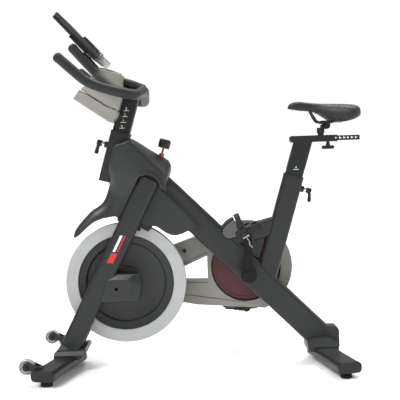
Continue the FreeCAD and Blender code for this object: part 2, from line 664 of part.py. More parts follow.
def make_seat():
    post_outer, post = post_bar(SEAT_TOP, SEAT_POST_INSERT, POST_REACH)
    beam_outer = box(BEAM_X0, BEAM_X1, -BEAM_WIDTH / 2, BEAM_WIDTH / 2, BEAM_Z0, BEAM_Z1)
    below = box(300, 500, -60, 60, 400, BEAM_Z0)
    add("seat_post", post.common(below))
    front = [e for e in beam_outer.Edges
             if abs(e.CenterOfMass.x - BEAM_X0) < 0.1 and abs(e.CenterOfMass.y) < 0.1]
    beam_outer = beam_outer.makeFillet(8, front)
    gap = 0.4
    hollow = box(BEAM_X0 + 12, BEAM_X1 + 5, -SLIDER_WIDTH / 2 - gap, SLIDER_WIDTH / 2 + gap,
                 820 - gap, 837.5 + gap)
    slot = box(STEM_X - 49, BEAM_X1 - 8, -12.5, 12.5, 830, 850)
    knob_hole = rod(V(504, 0, 800), UP, 6 + RUNNING_GAP, 24)
    add("seat_beam", cut_all(beam_outer, [hollow, slot, knob_hole]))
    slider = box(SLIDER_X0, SLIDER_X1, -SLIDER_WIDTH / 2, SLIDER_WIDTH / 2, 820, 837.5)
    holes = [rod(V(548 + 14.5 * i, -30, 829), ACROSS, 3, 60) for i in range(5)]
    slider = cut_all(slider, holes)
    screw = rod(V(504, 0, 797), UP, 6, 22.7)
    bar = profile(46, 16, 13, 6)
    bar.translate(V(504, 0, 789))
    add("slider_knob", bar.fuse(screw).removeSplitter())
    stem = rod(V(STEM_X, 0, 837.5), UP, 11, 30.5)
    collar = rod(V(STEM_X, 0, 848), UP, 14, 20)
    lug = rod(V(TILT_X, -12, TILT_Z), ACROSS, 12, 24)
    web = box(STEM_X, TILT_X, -12, 12, 864, 879)
    collar = fuse_all([collar, lug, web])
    bolt = rod(V(TILT_X, -22, TILT_Z), ACROSS, 4, 44)
    heads = [rod(V(TILT_X, side * 20.4, TILT_Z), ACROSS * side, 8, 5) for side in (-1, 1)]
    bolt = fuse_all([bolt] + heads)
    collar = collar.cut(rod(V(TILT_X, -30, TILT_Z), ACROSS, 4 + RUNNING_GAP, 60))
    add("seat_slider", fuse_all([slider, stem, collar]))
    cheeks = []
    for side in (-1, 1):
        cheeks.append(rod(V(TILT_X, side * 12.4, TILT_Z), ACROSS * side, 13, 8))
        cheeks.append(box(476, 516, *sorted((side * 12.4, side * 27)), 882, 893))
    cheeks.append(box(489, 512, -13, 13, 889.5, 893))
    rails = saddle_rails()
    add("seat_rail_clamp", cut_all(fuse_all(cheeks), [rails, bolt]))
    add("seat_clamp_bolt", bolt)
    saddle = saddle_solid()
    add("saddle_rails", Part.makeCompound([s for s in rails.cut(saddle).Solids if s.Volume > 900]))
    add("saddle", saddle)


def saddle_rails():
    pair = []
    for side in (-1, 1):
        points = [V(434, side * 14, 934), V(463, side * 22, 888), V(520, side * 22, 886),
                  V(556, side * 30, 905)]
        pair.append(bent_tube(points, [16, 22], 3.5))
    return Part.makeCompound(pair)


def spline_face(points, lift_axis):
    """Face inside a closed smooth outline; lift_axis picks the plane, 'y' or 'z'."""
    place = [V(a, 0, b) if lift_axis == "y" else V(a, b, 0) for a, b in points]
    curve = Part.BSplineCurve()
    curve.interpolate(place, PeriodicFlag=True)
    return Part.Face(Part.Wire(curve.toShape()))


def saddle_solid():
    side_view = [(356, 940), (364, 956), (385, 966), (420, 967), (495, 961), (570, 954),
                 (603, 949), (618, 936), (622.5, 916), (608, 902), (585, 891), (560, 888),
                 (530, 891), (500, 910), (475, 921), (433, 928), (382, 932)]
    half_plan = [(356, 12), (390, 20), (440, 24), (490, 38), (530, 62), (570, 76), (600, 74),
                 (617, 52)]
    plan = half_plan + [(624, 0)] + [(x, -y) for x, y in reversed(half_plan)] + [(353, 0)]
    side = spline_face(side_view, "y").extrude(V(0, 200, 0))
    side.translate(V(0, -100, 0))
    top = spline_face(plan, "z").extrude(V(0, 0, 120))
    top.translate(V(0, 0, 870))
    return side.common(top)


# ---------------------------------------------------------------- handlebar assembly
ARCH = V(-166, 0, 1025)


def make_handlebar():
    left_half = [V(-438, -BAR_Y, 1127), V(-347, -BAR_Y, 1042), V(-184, -200, 994)]
    right_half = [V(p.x, -p.y, p.z) for p in reversed(left_half)]
    loop = bent_tube(left_half + [ARCH] + right_half, [90, 42, 150, 42, 90], BAR_R)
    horn = bent_tube([V(-407, -HORN_Y, 1174), V(-318, -HORN_Y, 1073), V(-266, -196, 1022),
                      V(-240, -222, 1010)], [60, 50], BAR_R)
    spine = bar_between(V(-246, 0, 1056), V(-168, 0, 1028), 2 * BAR_R, 2 * BAR_R, BAR_R - 0.1)
    bars = loop.fuse(horn).fuse(mirrored(horn)).fuse(spine)
    post_outer, post = post_bar(HEAD_TOP, BAR_POST_INSERT, POST_REACH)
    block = box(-250, -176, -24, 24, 1000, 1046)
    bars = bars.fuse(block.cut(post_outer)).removeSplitter()
    add("handlebar", bars)
    bolts = rod(V(-222, -24, 984), ACROSS, 7, 48).cut(post_outer)
    add("handlebar_post", post.cut(bars).multiFuse(bolts.Solids))
    seam_low = [(-417, 996), (-393, 1029), (-293, 962), (-271, 955), (-257, 946), (-264, 929),
                (-292, 910)]
    seam_up = [(-392, 1030), (-376, 1040), (-323, 1107), (-240, 1079), (-244, 998),
               (-257, 947.5), (-271, 956.5), (-293, 963.5)]
    rear_room = [bars, post_outer, block, bolts_room()]
    deep = V(-0.32, 0, -0.947)
    wells = []
    well_walls = []
    for side in (-1, 1):
        mouth = V(-281, side * 43, 1093) - deep * 30
        wells.append(rod(mouth, deep, 36, 142))
        well_walls.append(rod(mouth, deep, 38.5, 142))
    lower = tray_shell(seam_low, 88, V(3, 0, 8), [])
    upper = tray_shell(seam_up, 86, V(-3, 0, -8), well_walls)
    add("tray_lower", biggest(cut_all(lower, rear_room)))
    add("tray_upper", biggest(cut_all(upper, wells + rear_room)))
    make_tablet_holder(bars)


def bolts_room():
    return rod(V(-222, -30, 984), ACROSS, 9, 60)


def tray_shell(outline, half, towards_seam, keep):
    """Moulded half of the tray, hollow and open along the seam."""
    wall = 3.0
    corners = [V(x, -half, z) for x, z in outline]
    face = Part.Face(Part.makePolygon(corners + corners[:1]))
    block = face.extrude(V(0, 2 * half, 0))
    core = face.makeOffset2D(-wall).extrude(V(0, 2 * (half - wall), 0))
    core.translate(V(0, wall, 0))
    through = core.copy()
    through.translate(towards_seam)
    hollow = cut_all(core.fuse(through), keep)
    return block.cut(hollow)


def make_tablet_holder(bars):
    base = V(-465.5, 0, 1294)
    plate = bar_between(base, V(-323, 0, 1137), 26, 220, 8)
    run = V(138, 0, -152).normalize()
    face = V(152, 0, 138).normalize()
    ledge_at = base + run * 219
    ledge = bar_between(ledge_at - face * 8, ledge_at + face * 20, 22, 190, 5)
    add("tablet_ledge", ledge.cut(plate))
    console_at = base + run * 118
    console = bar_between(console_at + face * 18, console_at + run * 76 + face * 18, 10, 120, 4)
    add("tablet_clip", console.cut(plate))
    pad_at = base + run * 92 - face * 16
    pad = bar_between(pad_at, pad_at + run * 84, 6, 2 * HORN_Y + 20, 2)
    add("tablet_plate", plate.fuse(pad.cut(bars)).removeSplitter())


def main():
    os.makedirs(OUT, exist_ok=True)
    make_frame()
    make_stabilisers()
    make_transport_wheels()
    make_flywheel()
    make_bearings()
    make_drive()
    make_cranks()
    make_pedals()
    make_brake()
    make_shroud()
    make_sleeves()
    make_levers()
    make_seat()
    make_handlebar()
    whole = FreeCAD.BoundBox()
    for name, shape in sorted(nodes.items()):
        whole.add(shape.BoundBox)
        if not shape.isValid():
            print("invalid", name)
        shape.exportStep(os.path.join(OUT, name + ".step"))
    print("nodes", len(nodes), "box", whole)


main()
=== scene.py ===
import bpy
import bmesh
import math
from mathutils import Matrix, Vector


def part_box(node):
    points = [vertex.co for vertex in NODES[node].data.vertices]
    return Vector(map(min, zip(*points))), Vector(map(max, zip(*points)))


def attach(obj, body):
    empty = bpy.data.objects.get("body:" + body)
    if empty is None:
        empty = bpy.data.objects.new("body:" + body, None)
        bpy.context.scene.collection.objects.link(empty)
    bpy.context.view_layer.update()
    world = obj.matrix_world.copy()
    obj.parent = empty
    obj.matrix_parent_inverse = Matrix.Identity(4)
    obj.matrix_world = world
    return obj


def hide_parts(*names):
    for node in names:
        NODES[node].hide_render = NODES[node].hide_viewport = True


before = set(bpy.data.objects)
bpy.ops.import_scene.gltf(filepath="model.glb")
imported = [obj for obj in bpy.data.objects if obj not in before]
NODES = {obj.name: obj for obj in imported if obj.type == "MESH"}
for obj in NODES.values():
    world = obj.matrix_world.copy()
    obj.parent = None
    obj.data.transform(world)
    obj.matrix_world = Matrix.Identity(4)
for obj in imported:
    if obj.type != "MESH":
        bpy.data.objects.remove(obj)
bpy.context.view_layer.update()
SIDES = ((-1, "left"), (1, "right"))

LEAN = math.radians(16.6)
UP_POST = Vector((math.sin(LEAN), 0, math.cos(LEAN)))
OUT_POST = Vector((math.cos(LEAN), 0, -math.sin(LEAN)))
HEAD_TOP = Vector((-0.258, 0, 0.872))
SEAT_TOP = Vector((0.374, 0, 0.693))
UP = Vector((0, 0, 1))
ACROSS = Vector((0, 1, 0))


def mid(node):
    low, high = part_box(node)
    return (low + high) / 2


FLYWHEEL = mid("flywheel_rim")
CRANK = mid("crank_axle")


# ---------------------------------------------------------------- materials
class Nodes:
    """Short way to write a material's node tree."""

    def __init__(self, name):
        self.material = bpy.data.materials.new(name)
        self.material.use_nodes = True
        self.tree = self.material.node_tree
        self.shader = self.tree.nodes["Principled BSDF"]
        self.coords = self.add("ShaderNodeTexCoord").outputs["Object"]

    def add(self, kind, **settings):
        node = self.tree.nodes.new(kind)
        for key, value in settings.items():
            setattr(node, key, value)
        return node

    def link(self, source, target):
        self.tree.links.new(source, target)

    def put(self, node, **values):
        """Sets inputs by name, with an underscore for each space."""
        for key, value in values.items():
            node.inputs[key.replace("_", " ")].default_value = value

    def noise(self, scale, detail=3.0, roughness=0.5, vector=None):
        node = self.add("ShaderNodeTexNoise")
        self.put(node, Scale=scale, Detail=detail, Roughness=roughness)
        self.link(vector or self.coords, node.inputs["Vector"])
        return node.outputs["Fac"]

    def voronoi(self, scale, feature="F1"):
        node = self.add("ShaderNodeTexVoronoi", feature=feature)
        self.put(node, Scale=scale)
        self.link(self.coords, node.inputs["Vector"])
        return node.outputs["Distance"]

    def span(self, value, low, high, to_low, to_high):
        node = self.add("ShaderNodeMapRange")
        self.put(node, From_Min=low, From_Max=high, To_Min=to_low, To_Max=to_high)
        self.link(value, node.inputs["Value"])
        return node.outputs["Result"]

    def mix(self, factor, first, second):
        node = self.add("ShaderNodeMix", data_type="RGBA")
        self.link(factor, node.inputs["Factor"])
        for socket, value in ((node.inputs[6], first), (node.inputs[7], second)):
            if isinstance(value, tuple):
                socket.default_value = value
            else:
                self.link(value, socket)
        return node.outputs[2]

    def bump(self, height, strength, distance, under=None):
        node = self.add("ShaderNodeBump")
        self.put(node, Strength=strength, Distance=distance)
        self.link(height, node.inputs["Height"])
        if under is not None:
            self.link(under, node.inputs["Normal"])
        return node.outputs["Normal"]


def grey(value, warm=0.0):
    return (value * (1 + warm), value, value * (1 - warm), 1.0)


def tint(colour, factor):
    return tuple(c * factor for c in colour[:3]) + (1.0,)


def grained(name, colour, rough, grain, depth, mottling=0.12, metallic=0.0, coat=0.0,
            specular=0.5):
    """Paint or moulded plastic: fine surface grain, soft mottling, slightly uneven gloss."""
    n = Nodes(name)
    clouds = n.noise(7.0, 4.0, 0.6)
    specks = n.noise(grain * 0.35, 2.0, 0.6)
    broad = n.mix(n.span(clouds, 0.3, 0.7, 0, 1), tint(colour, 1 - mottling),
                  tint(colour, 1 + mottling))
    dusty = n.mix(n.span(specks, 0.55, 0.85, 0, 0.25), broad, tint(colour, 1.25))
    n.link(dusty, n.shader.inputs["Base Color"])
    fine = n.noise(grain, 2.0, 0.5)
    n.link(n.span(clouds, 0.25, 0.75, rough - 0.05, rough + 0.07), n.shader.inputs["Roughness"])
    n.link(n.bump(fine, 0.5, depth), n.shader.inputs["Normal"])
    n.put(n.shader, Metallic=metallic, Coat_Weight=coat, Specular_IOR_Level=specular)
    return n.material


def turned(name, colour, centre, rough, ring_scale, metallic=1.0, specular=0.45):
    """Metal turned on a lathe: fine rings round an axis that runs along Y."""
    n = Nodes(name)
    shift = n.add("ShaderNodeVectorMath", operation="SUBTRACT")
    n.link(n.coords, shift.inputs[0])
    shift.inputs[1].default_value = centre
    flat = n.add("ShaderNodeVectorMath", operation="MULTIPLY")
    n.link(shift.outputs[0], flat.inputs[0])
    flat.inputs[1].default_value = (1, 0, 1)
    length = n.add("ShaderNodeVectorMath", operation="LENGTH")
    n.link(flat.outputs[0], length.inputs[0])
    radius = n.add("ShaderNodeCombineXYZ")
    n.link(length.outputs["Value"], radius.inputs[0])
    rings = n.noise(ring_scale, 3.0, 0.7, radius.outputs[0])
    blotch = n.noise(14.0, 4.0, 0.6)
    base = n.mix(n.span(rings, 0.3, 0.7, 0, 1), tint(colour, 0.9), tint(colour, 1.08))
    worn = n.mix(n.span(blotch, 0.45, 0.75, 0, 0.5), base, tint(colour, 0.82))
    n.link(worn, n.shader.inputs["Base Color"])
    n.link(n.span(rings, 0.2, 0.8, rough - 0.06, rough + 0.1), n.shader.inputs["Roughness"])
    n.link(n.bump(rings, 0.35, 0.0002), n.shader.inputs["Normal"])
    n.put(n.shader, Metallic=metallic, Specular_IOR_Level=specular)
    return n.material


def metal(name, colour, rough, scratch=160.0):
    """Drawn or polished metal with faint scratches along its length."""
    n = Nodes(name)
    stretch = n.add("ShaderNodeMapping")
    n.put(stretch, Scale=(1.0, 6.0, 1.0))
    n.link(n.coords, stretch.inputs["Vector"])
    lines = n.noise(scratch, 3.0, 0.65, stretch.outputs[0])
    smudge = n.noise(30.0, 3.0)
    n.link(n.mix(n.span(smudge, 0.35, 0.7, 0, 1), colour, tint(colour, 0.8)),
           n.shader.inputs["Base Color"])
    n.link(n.span(lines, 0.25, 0.75, rough - 0.05, rough + 0.12), n.shader.inputs["Roughness"])
    n.link(n.bump(lines, 0.2, 0.0001), n.shader.inputs["Normal"])
    n.put(n.shader, Metallic=1.0)
    return n.material


def leather(name, colour):
    """Embossed synthetic leather: small cells, creases and a soft sheen."""
    n = Nodes(name)
    cells = n.voronoi(620.0)
    creases = n.voronoi(210.0, "DISTANCE_TO_EDGE")
    clouds = n.noise(16.0, 4.0, 0.6)
    base = n.mix(n.span(clouds, 0.3, 0.7, 0, 1), tint(colour, 0.8), tint(colour, 1.25))
    pores = n.mix(n.span(cells, 0.0, 0.6, 0, 1), base, tint(colour, 1.35))
    n.link(pores, n.shader.inputs["Base Color"])
    n.link(n.span(clouds, 0.3, 0.7, 0.42, 0.56), n.shader.inputs["Roughness"])
    grain = n.bump(cells, 0.3, 0.0004)
    n.link(n.bump(n.span(creases, 0.0, 0.12, 0, 1), 0.2, 0.0003, grain),
           n.shader.inputs["Normal"])
    n.put(n.shader, Sheen_Weight=0.03, Specular_IOR_Level=0.34, Sheen_Roughness=0.5)
    return n.material


def webbing(name, colour):
    """Woven strap: tight diagonal rows of thread."""
    n = Nodes(name)
    weave = n.add("ShaderNodeTexWave", wave_type="BANDS", bands_direction="DIAGONAL")
    n.put(weave, Scale=180.0, Distortion=1.2)
    n.link(n.coords, weave.inputs["Vector"])
    rows = weave.outputs["Fac"]
    n.link(n.mix(rows, tint(colour, 0.7), tint(colour, 1.4)), n.shader.inputs["Base Color"])
    n.link(n.bump(rows, 0.5, 0.0005), n.shader.inputs["Normal"])
    n.put(n.shader, Roughness=0.75)
    return n.material


FRAME_GREY = (0.0125, 0.0142, 0.0138, 1.0)
PAINT = grained("frame_paint", FRAME_GREY, 0.34, 900.0, 0.00012, 0.10, specular=0.38)
POST_PAINT = grained("post_paint", tint(FRAME_GREY, 0.85), 0.42, 1100.0, 0.0001, 0.08,
                     specular=0.28)
SHROUD_PLASTIC = grained("shroud_plastic", tint(FRAME_GREY, 1.25), 0.38, 1300.0, 0.0002, 0.08,
                         specular=0.42)
BLACK_PLASTIC = grained("black_plastic", grey(0.006), 0.38, 1200.0, 0.00015, 0.12,
                        specular=0.35)
RUBBER = grained("foot_rubber", grey(0.006), 0.6, 800.0, 0.0003, 0.2, specular=0.3)
GRIP = grained("grip", tint(FRAME_GREY, 1.1), 0.5, 1700.0, 0.0002, 0.10, specular=0.32)
GUARD_PLASTIC = grained("guard_plastic", (0.225, 0.218, 0.192, 1), 0.5, 1100.0, 0.0002, 0.05)
TRAY_PLASTIC = grained("tray_plastic", (0.25, 0.243, 0.215, 1), 0.48, 1100.0, 0.0002, 0.04)
CONSOLE_PLASTIC = grained("console_plastic", tint(FRAME_GREY, 1.7), 0.4, 450.0, 0.00005, 0.03)
LEDGE_PLASTIC = grained("ledge_plastic", (0.21, 0.20, 0.215, 1), 0.35, 1200.0, 0.0001, 0.05)
RIM_METAL = turned("wheel_alloy", (0.40, 0.412, 0.408, 1), FLYWHEEL, 0.42, 1500.0, 0.25)
DISC_PAINT = turned("disc_paint", (0.0125, 0.014, 0.0138, 1), FLYWHEEL, 0.42, 500.0, 0.0)
PULLEY_RED = turned("pulley_red", (0.088, 0.017, 0.018, 1), CRANK, 0.5, 500.0, 0.0)
CRANK_ALLOY = metal("crank_alloy", grey(0.022), 0.34)
DARK_STEEL = metal("dark_steel", grey(0.035), 0.3)
STEEL = metal("steel", grey(0.35), 0.3)
CHROME = metal("chrome", grey(0.78), 0.14, 90.0)
BELT = grained("belt_rubber", grey(0.010), 0.7, 700.0, 0.0004, 0.2)
RED_PLASTIC = grained("red_plastic", (0.30, 0.012, 0.007, 1), 0.3, 900.0, 0.0001, 0.06)
STRAP = webbing("strap", grey(0.010))
WEBBING_END = webbing("strap_end", grey(0.30))
SADDLE_LEATHER = leather("saddle_cover", tint(FRAME_GREY, 0.72))
WHEEL_PLASTIC = grained("wheel_plastic", (0.36, 0.37, 0.36, 1), 0.25, 600.0, 0.0001, 0.05)
PEDAL_GLOSS = grained("pedal_gloss", grey(0.03), 0.16, 700.0, 0.0001, 0.1, coat=0.6)
WHITE_MARK = grained("white_mark", grey(0.75), 0.5, 900.0, 0.00005, 0.05)
RED_MARK = grained("red_mark", (0.55, 0.012, 0.010, 1), 0.4, 900.0, 0.00005, 0.06)
# Painted shade: dark strips laid where grooves, gaps, parting lines and a ledge fall into shade.
PAINTED_LINE_SHADE = grained("painted_line_shade", grey(0.012), 0.6, 900.0, 0.0001, 0.1)


# ---------------------------------------------------------------- mesh helpers
SAME_POINT = 1e-6


def in_scene(name, data):
    obj = bpy.data.objects.new(name, data)
    bpy.context.scene.collection.objects.link(obj)
    return obj


def make_object(name, mesh, material, body, smooth=True):
    obj = in_scene(name, mesh)
    mesh.materials.append(material)
    if smooth:
        mesh.shade_smooth()
    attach(obj, body)
    return obj


def from_bmesh(name, bm, material, body, smooth=True):
    bmesh.ops.recalc_face_normals(bm, faces=bm.faces)
    mesh = bpy.data.meshes.new(name)
    bm.to_mesh(mesh)
    bm.free()
    return make_object(name, mesh, material, body, smooth)


def bridge(bm, rows, closed=True):
    """Faces between each row of vertices and the next; closed rows also meet end to start."""
    for one, two in zip(rows, rows[1:]):
        count = len(one)
        for k in range(count if closed else count - 1):
            m = (k + 1) % count
            bm.faces.new((one[k], one[m], two[m], two[k]))


def block_mesh(low, high):
    """Solid between two matching outlines."""
    bm = bmesh.new()
    rows = [[bm.verts.new(p) for p in outline] for outline in (low, high)]
    bm.faces.new(rows[0])
    bm.faces.new(rows[1])
    bridge(bm, rows)
    return bm


def thicken(obj, thickness, offset=0.0):
    mod = obj.modifiers.new("thickness", "SOLIDIFY")
    mod.thickness = thickness
    mod.offset = offset
    return obj


def bevel(obj, width, segments=3, angle=35.0):
    mod = obj.modifiers.new("round", "BEVEL")
    mod.width = width
    mod.segments = segments
    mod.limit_method = "ANGLE"
    mod.angle_limit = math.radians(angle)
    mod.harden_normals = True
    return obj


def sharp_by_angle(obj, degrees=35.0):
    obj.data.shade_smooth()
    obj.data.set_sharp_from_angle(angle=math.radians(degrees))
    return obj


def smooth_outline(points, steps=6, closed=True):
    """Catmull-Rom curve through points of two or three numbers."""
    count = len(points)
    places = [Vector(p) for p in points]
    out = []
    for i in range(count if closed else count - 1):
        a = places[(i - 1) % count] if closed or i > 0 else places[0]
        b, c = places[i], places[(i + 1) % count]
        d = places[(i + 2) % count] if closed or i + 2 < count else places[-1]
        for s in range(steps):
            t = s / steps
            out.append(0.5 * (2 * b + (c - a) * t + (2 * a - 5 * b + 4 * c - d) * t * t
                              + (3 * b - a - 3 * c + d) * t * t * t))
    if not closed:
        out.append(places[-1])
    return out


def lathe(name, profile, centre, axis, material, body, segments=64):
    """Turns a closed outline of (radius, distance along axis) round an axis."""
    axis = axis.normalized()
    side = axis.orthogonal().normalized()
    other = axis.cross(side)
    bm = bmesh.new()
    rings = []
    for i in range(segments):
        a = 2 * math.pi * i / segments
        out = side * math.cos(a) + other * math.sin(a)
        rings.append([bm.verts.new(centre + out * r + axis * h) for r, h in profile])
    bridge(bm, rings + rings[:1])
    bmesh.ops.remove_doubles(bm, verts=bm.verts, dist=SAME_POINT)
    obj = from_bmesh(name, bm, material, body)
    return sharp_by_angle(obj, 30)


def prism(name, outline, y0, y1, material, body, width=0.0015, segments=3):
    """Plate with an outline in X and Z between two values of Y, its edges rounded."""
    bm = block_mesh([(x, y0, z) for x, z in outline], [(x, y1, z) for x, z in outline])
    return bevel(from_bmesh(name, bm, material, body), width, segments)


def curve_mesh(curve):
    """A curve's mesh; the curve itself is deleted."""
    holder = in_scene("holder", curve)
    mesh = bpy.data.meshes.new_from_object(holder)
    bpy.data.objects.remove(holder)
    bpy.data.curves.remove(curve)
    mesh.materials.clear()
    return mesh


def tube(name, points, radius, material, body, resolution=10, order=3):
    """Round bar along a smooth line near its points."""
    curve = bpy.data.curves.new(name, "CURVE")
    curve.dimensions = "3D"
    spline = curve.splines.new("NURBS")
    spline.points.add(len(points) - 1)
    for point, place in zip(spline.points, points):
        point.co = (*place, 1)
    spline.order_u = order
    spline.use_endpoint_u = True
    spline.resolution_u = resolution
    curve.bevel_depth = radius
    curve.bevel_resolution = 6
    curve.use_fill_caps = True
    return make_object(name, curve_mesh(curve), material, body)


def apply_modifiers(obj):
    depsgraph = bpy.context.evaluated_depsgraph_get()
    mesh = bpy.data.meshes.new_from_object(obj.evaluated_get(depsgraph))
    old = obj.data
    obj.modifiers.clear()
    obj.data = mesh
    bpy.data.meshes.remove(old)
    return obj


def join(objects, name):
    """One object from several; the first keeps its body."""
    with bpy.context.temp_override(active_object=objects[0], object=objects[0],
                                   selected_editable_objects=objects,
                                   selected_objects=objects):
        bpy.ops.object.join()
    objects[0].name = name
    return objects[0]


def add_remesh(obj, voxel):
    mod = obj.modifiers.new("remesh", "REMESH")
    mod.mode = "VOXEL"
    mod.voxel_size = voxel


def add_smooth(obj, iterations):
    mod = obj.modifiers.new("soft", "SMOOTH")
    mod.factor = 0.5
    mod.iterations = iterations


def remeshed(obj, voxel, smoothing):
    add_remesh(obj, voxel)
    add_smooth(obj, smoothing)
    apply_modifiers(obj)
    obj.data.shade_smooth()
    return obj


# ---------------------------------------------------------------- carried-over nodes
def paint_nodes():
    """Materials and soft edges for the CAD nodes whose shapes stay."""
    plan = (
        (PAINT, 0.0012, ("main_tube", "seat_tube", "cross_tube", "head_tube", "front_stabiliser",
                         "rear_stabiliser", "front_leg_left", "front_leg_right")),
        (POST_PAINT, 0.0008, ("handlebar_post", "seat_post", "seat_beam", "seat_slider")),
        (GUARD_PLASTIC, 0.0025, ("belt_guard_outer", "belt_guard_inner")),
        (BLACK_PLASTIC, 0.001, ("post_sleeves", "brake_yoke", "pedal_body_left",
                                "pedal_body_right", "toe_cage_left", "toe_cage_right")),
        (BELT, 0, ("drive_belt",)),
        (STEEL, 0.0004, ("axle_bearings", "flywheel_axle", "crank_axle")),
        (DARK_STEEL, 0.0004, ("frame_bolts", "pedal_spindles", "brake_shaft",
                              "seat_rail_clamp", "seat_clamp_bolt")),
        (RED_PLASTIC, 0.0004, ("brake_bushing",)),
        (RIM_METAL, 0.0008, ("flywheel_rim",)),
        (PULLEY_RED, 0.001, ("drive_pulley",)),
        (CRANK_ALLOY, 0.0015, ("crank_left", "crank_right")),
        (STRAP, 0, ("toe_strap_left", "toe_strap_right")),
    )
    for material, width, names in plan:
        for name in names:
            obj = NODES[name]
            obj.data.materials.clear()
            obj.data.materials.append(material)
            sharp_by_angle(obj, 32)
            if width > 0:
                bevel(obj, width, 2, 32)


# ---------------------------------------------------------------- shroud
def edge_distance(point, lines):
    """Shortest distance from a point to any of the lines."""
    best = 1.0
    for a, b in lines:
        run = b - a
        t = max(0.0, min(1.0, (point - a).dot(run) / max(run.length_squared, 1e-12)))
        best = min(best, (point - a - run * t).length)
    return best


def crowned_panel(name, outline, closed_edges, depth_at, side, wall, material, body, rounding,
                  step=0.006):
    """Moulded shell with an outline in X and Z.  Its face stands depth_at(x, z) from the middle
    plane, and curves in to that plane along closed_edges within rounding(x, z) of them."""
    at_middle, close_cuts = 0.0015, 0.0006
    bm = bmesh.new()
    bm.faces.new([bm.verts.new((p.x, 0, p.y)) for p in outline])
    xs = [p.x for p in outline]
    zs = [p.y for p in outline]
    for low, high, normal in ((min(xs), max(xs), (1, 0, 0)), (min(zs), max(zs), (0, 0, 1))):
        place = low + step
        while place < high:
            where = (place, 0, 0) if normal[0] else (0, 0, place)
            bmesh.ops.bisect_plane(bm, geom=bm.verts[:] + bm.edges[:] + bm.faces[:],
                                   plane_co=where, plane_no=normal)
            place += step
    bmesh.ops.remove_doubles(bm, verts=bm.verts, dist=close_cuts)
    bmesh.ops.triangulate(bm, faces=[f for f in bm.faces if len(f.verts) > 4])
    for v in bm.verts:
        flat = Vector((v.co.x, v.co.z))
        rise = 1.0
        if closed_edges:
            near = min(edge_distance(flat, closed_edges) / rounding(flat.x, flat.y), 1.0)
            rise = math.sqrt(max(0.0, 1 - (1 - near) ** 2))
        v.co.y = side * (at_middle + (depth_at(v.co.x, v.co.z) - at_middle) * rise)
    obj = from_bmesh(name, bm, material, body)
    inward = -1.0 if obj.data.polygons[0].normal.y * side > 0 else 1.0
    return thicken(obj, wall, inward)


def ease(value, low, high):
    t = max(0.0, min(1.0, (value - low) / (high - low)))
    return t * t * (3 - 2 * t)


def beyond(x, z, start, end):
    """Signed distance of a point from a line, positive on the line's upper right."""
    run = (Vector(end) - Vector(start)).normalized()
    return (x - start[0]) * -run.y + (z - start[1]) * run.x


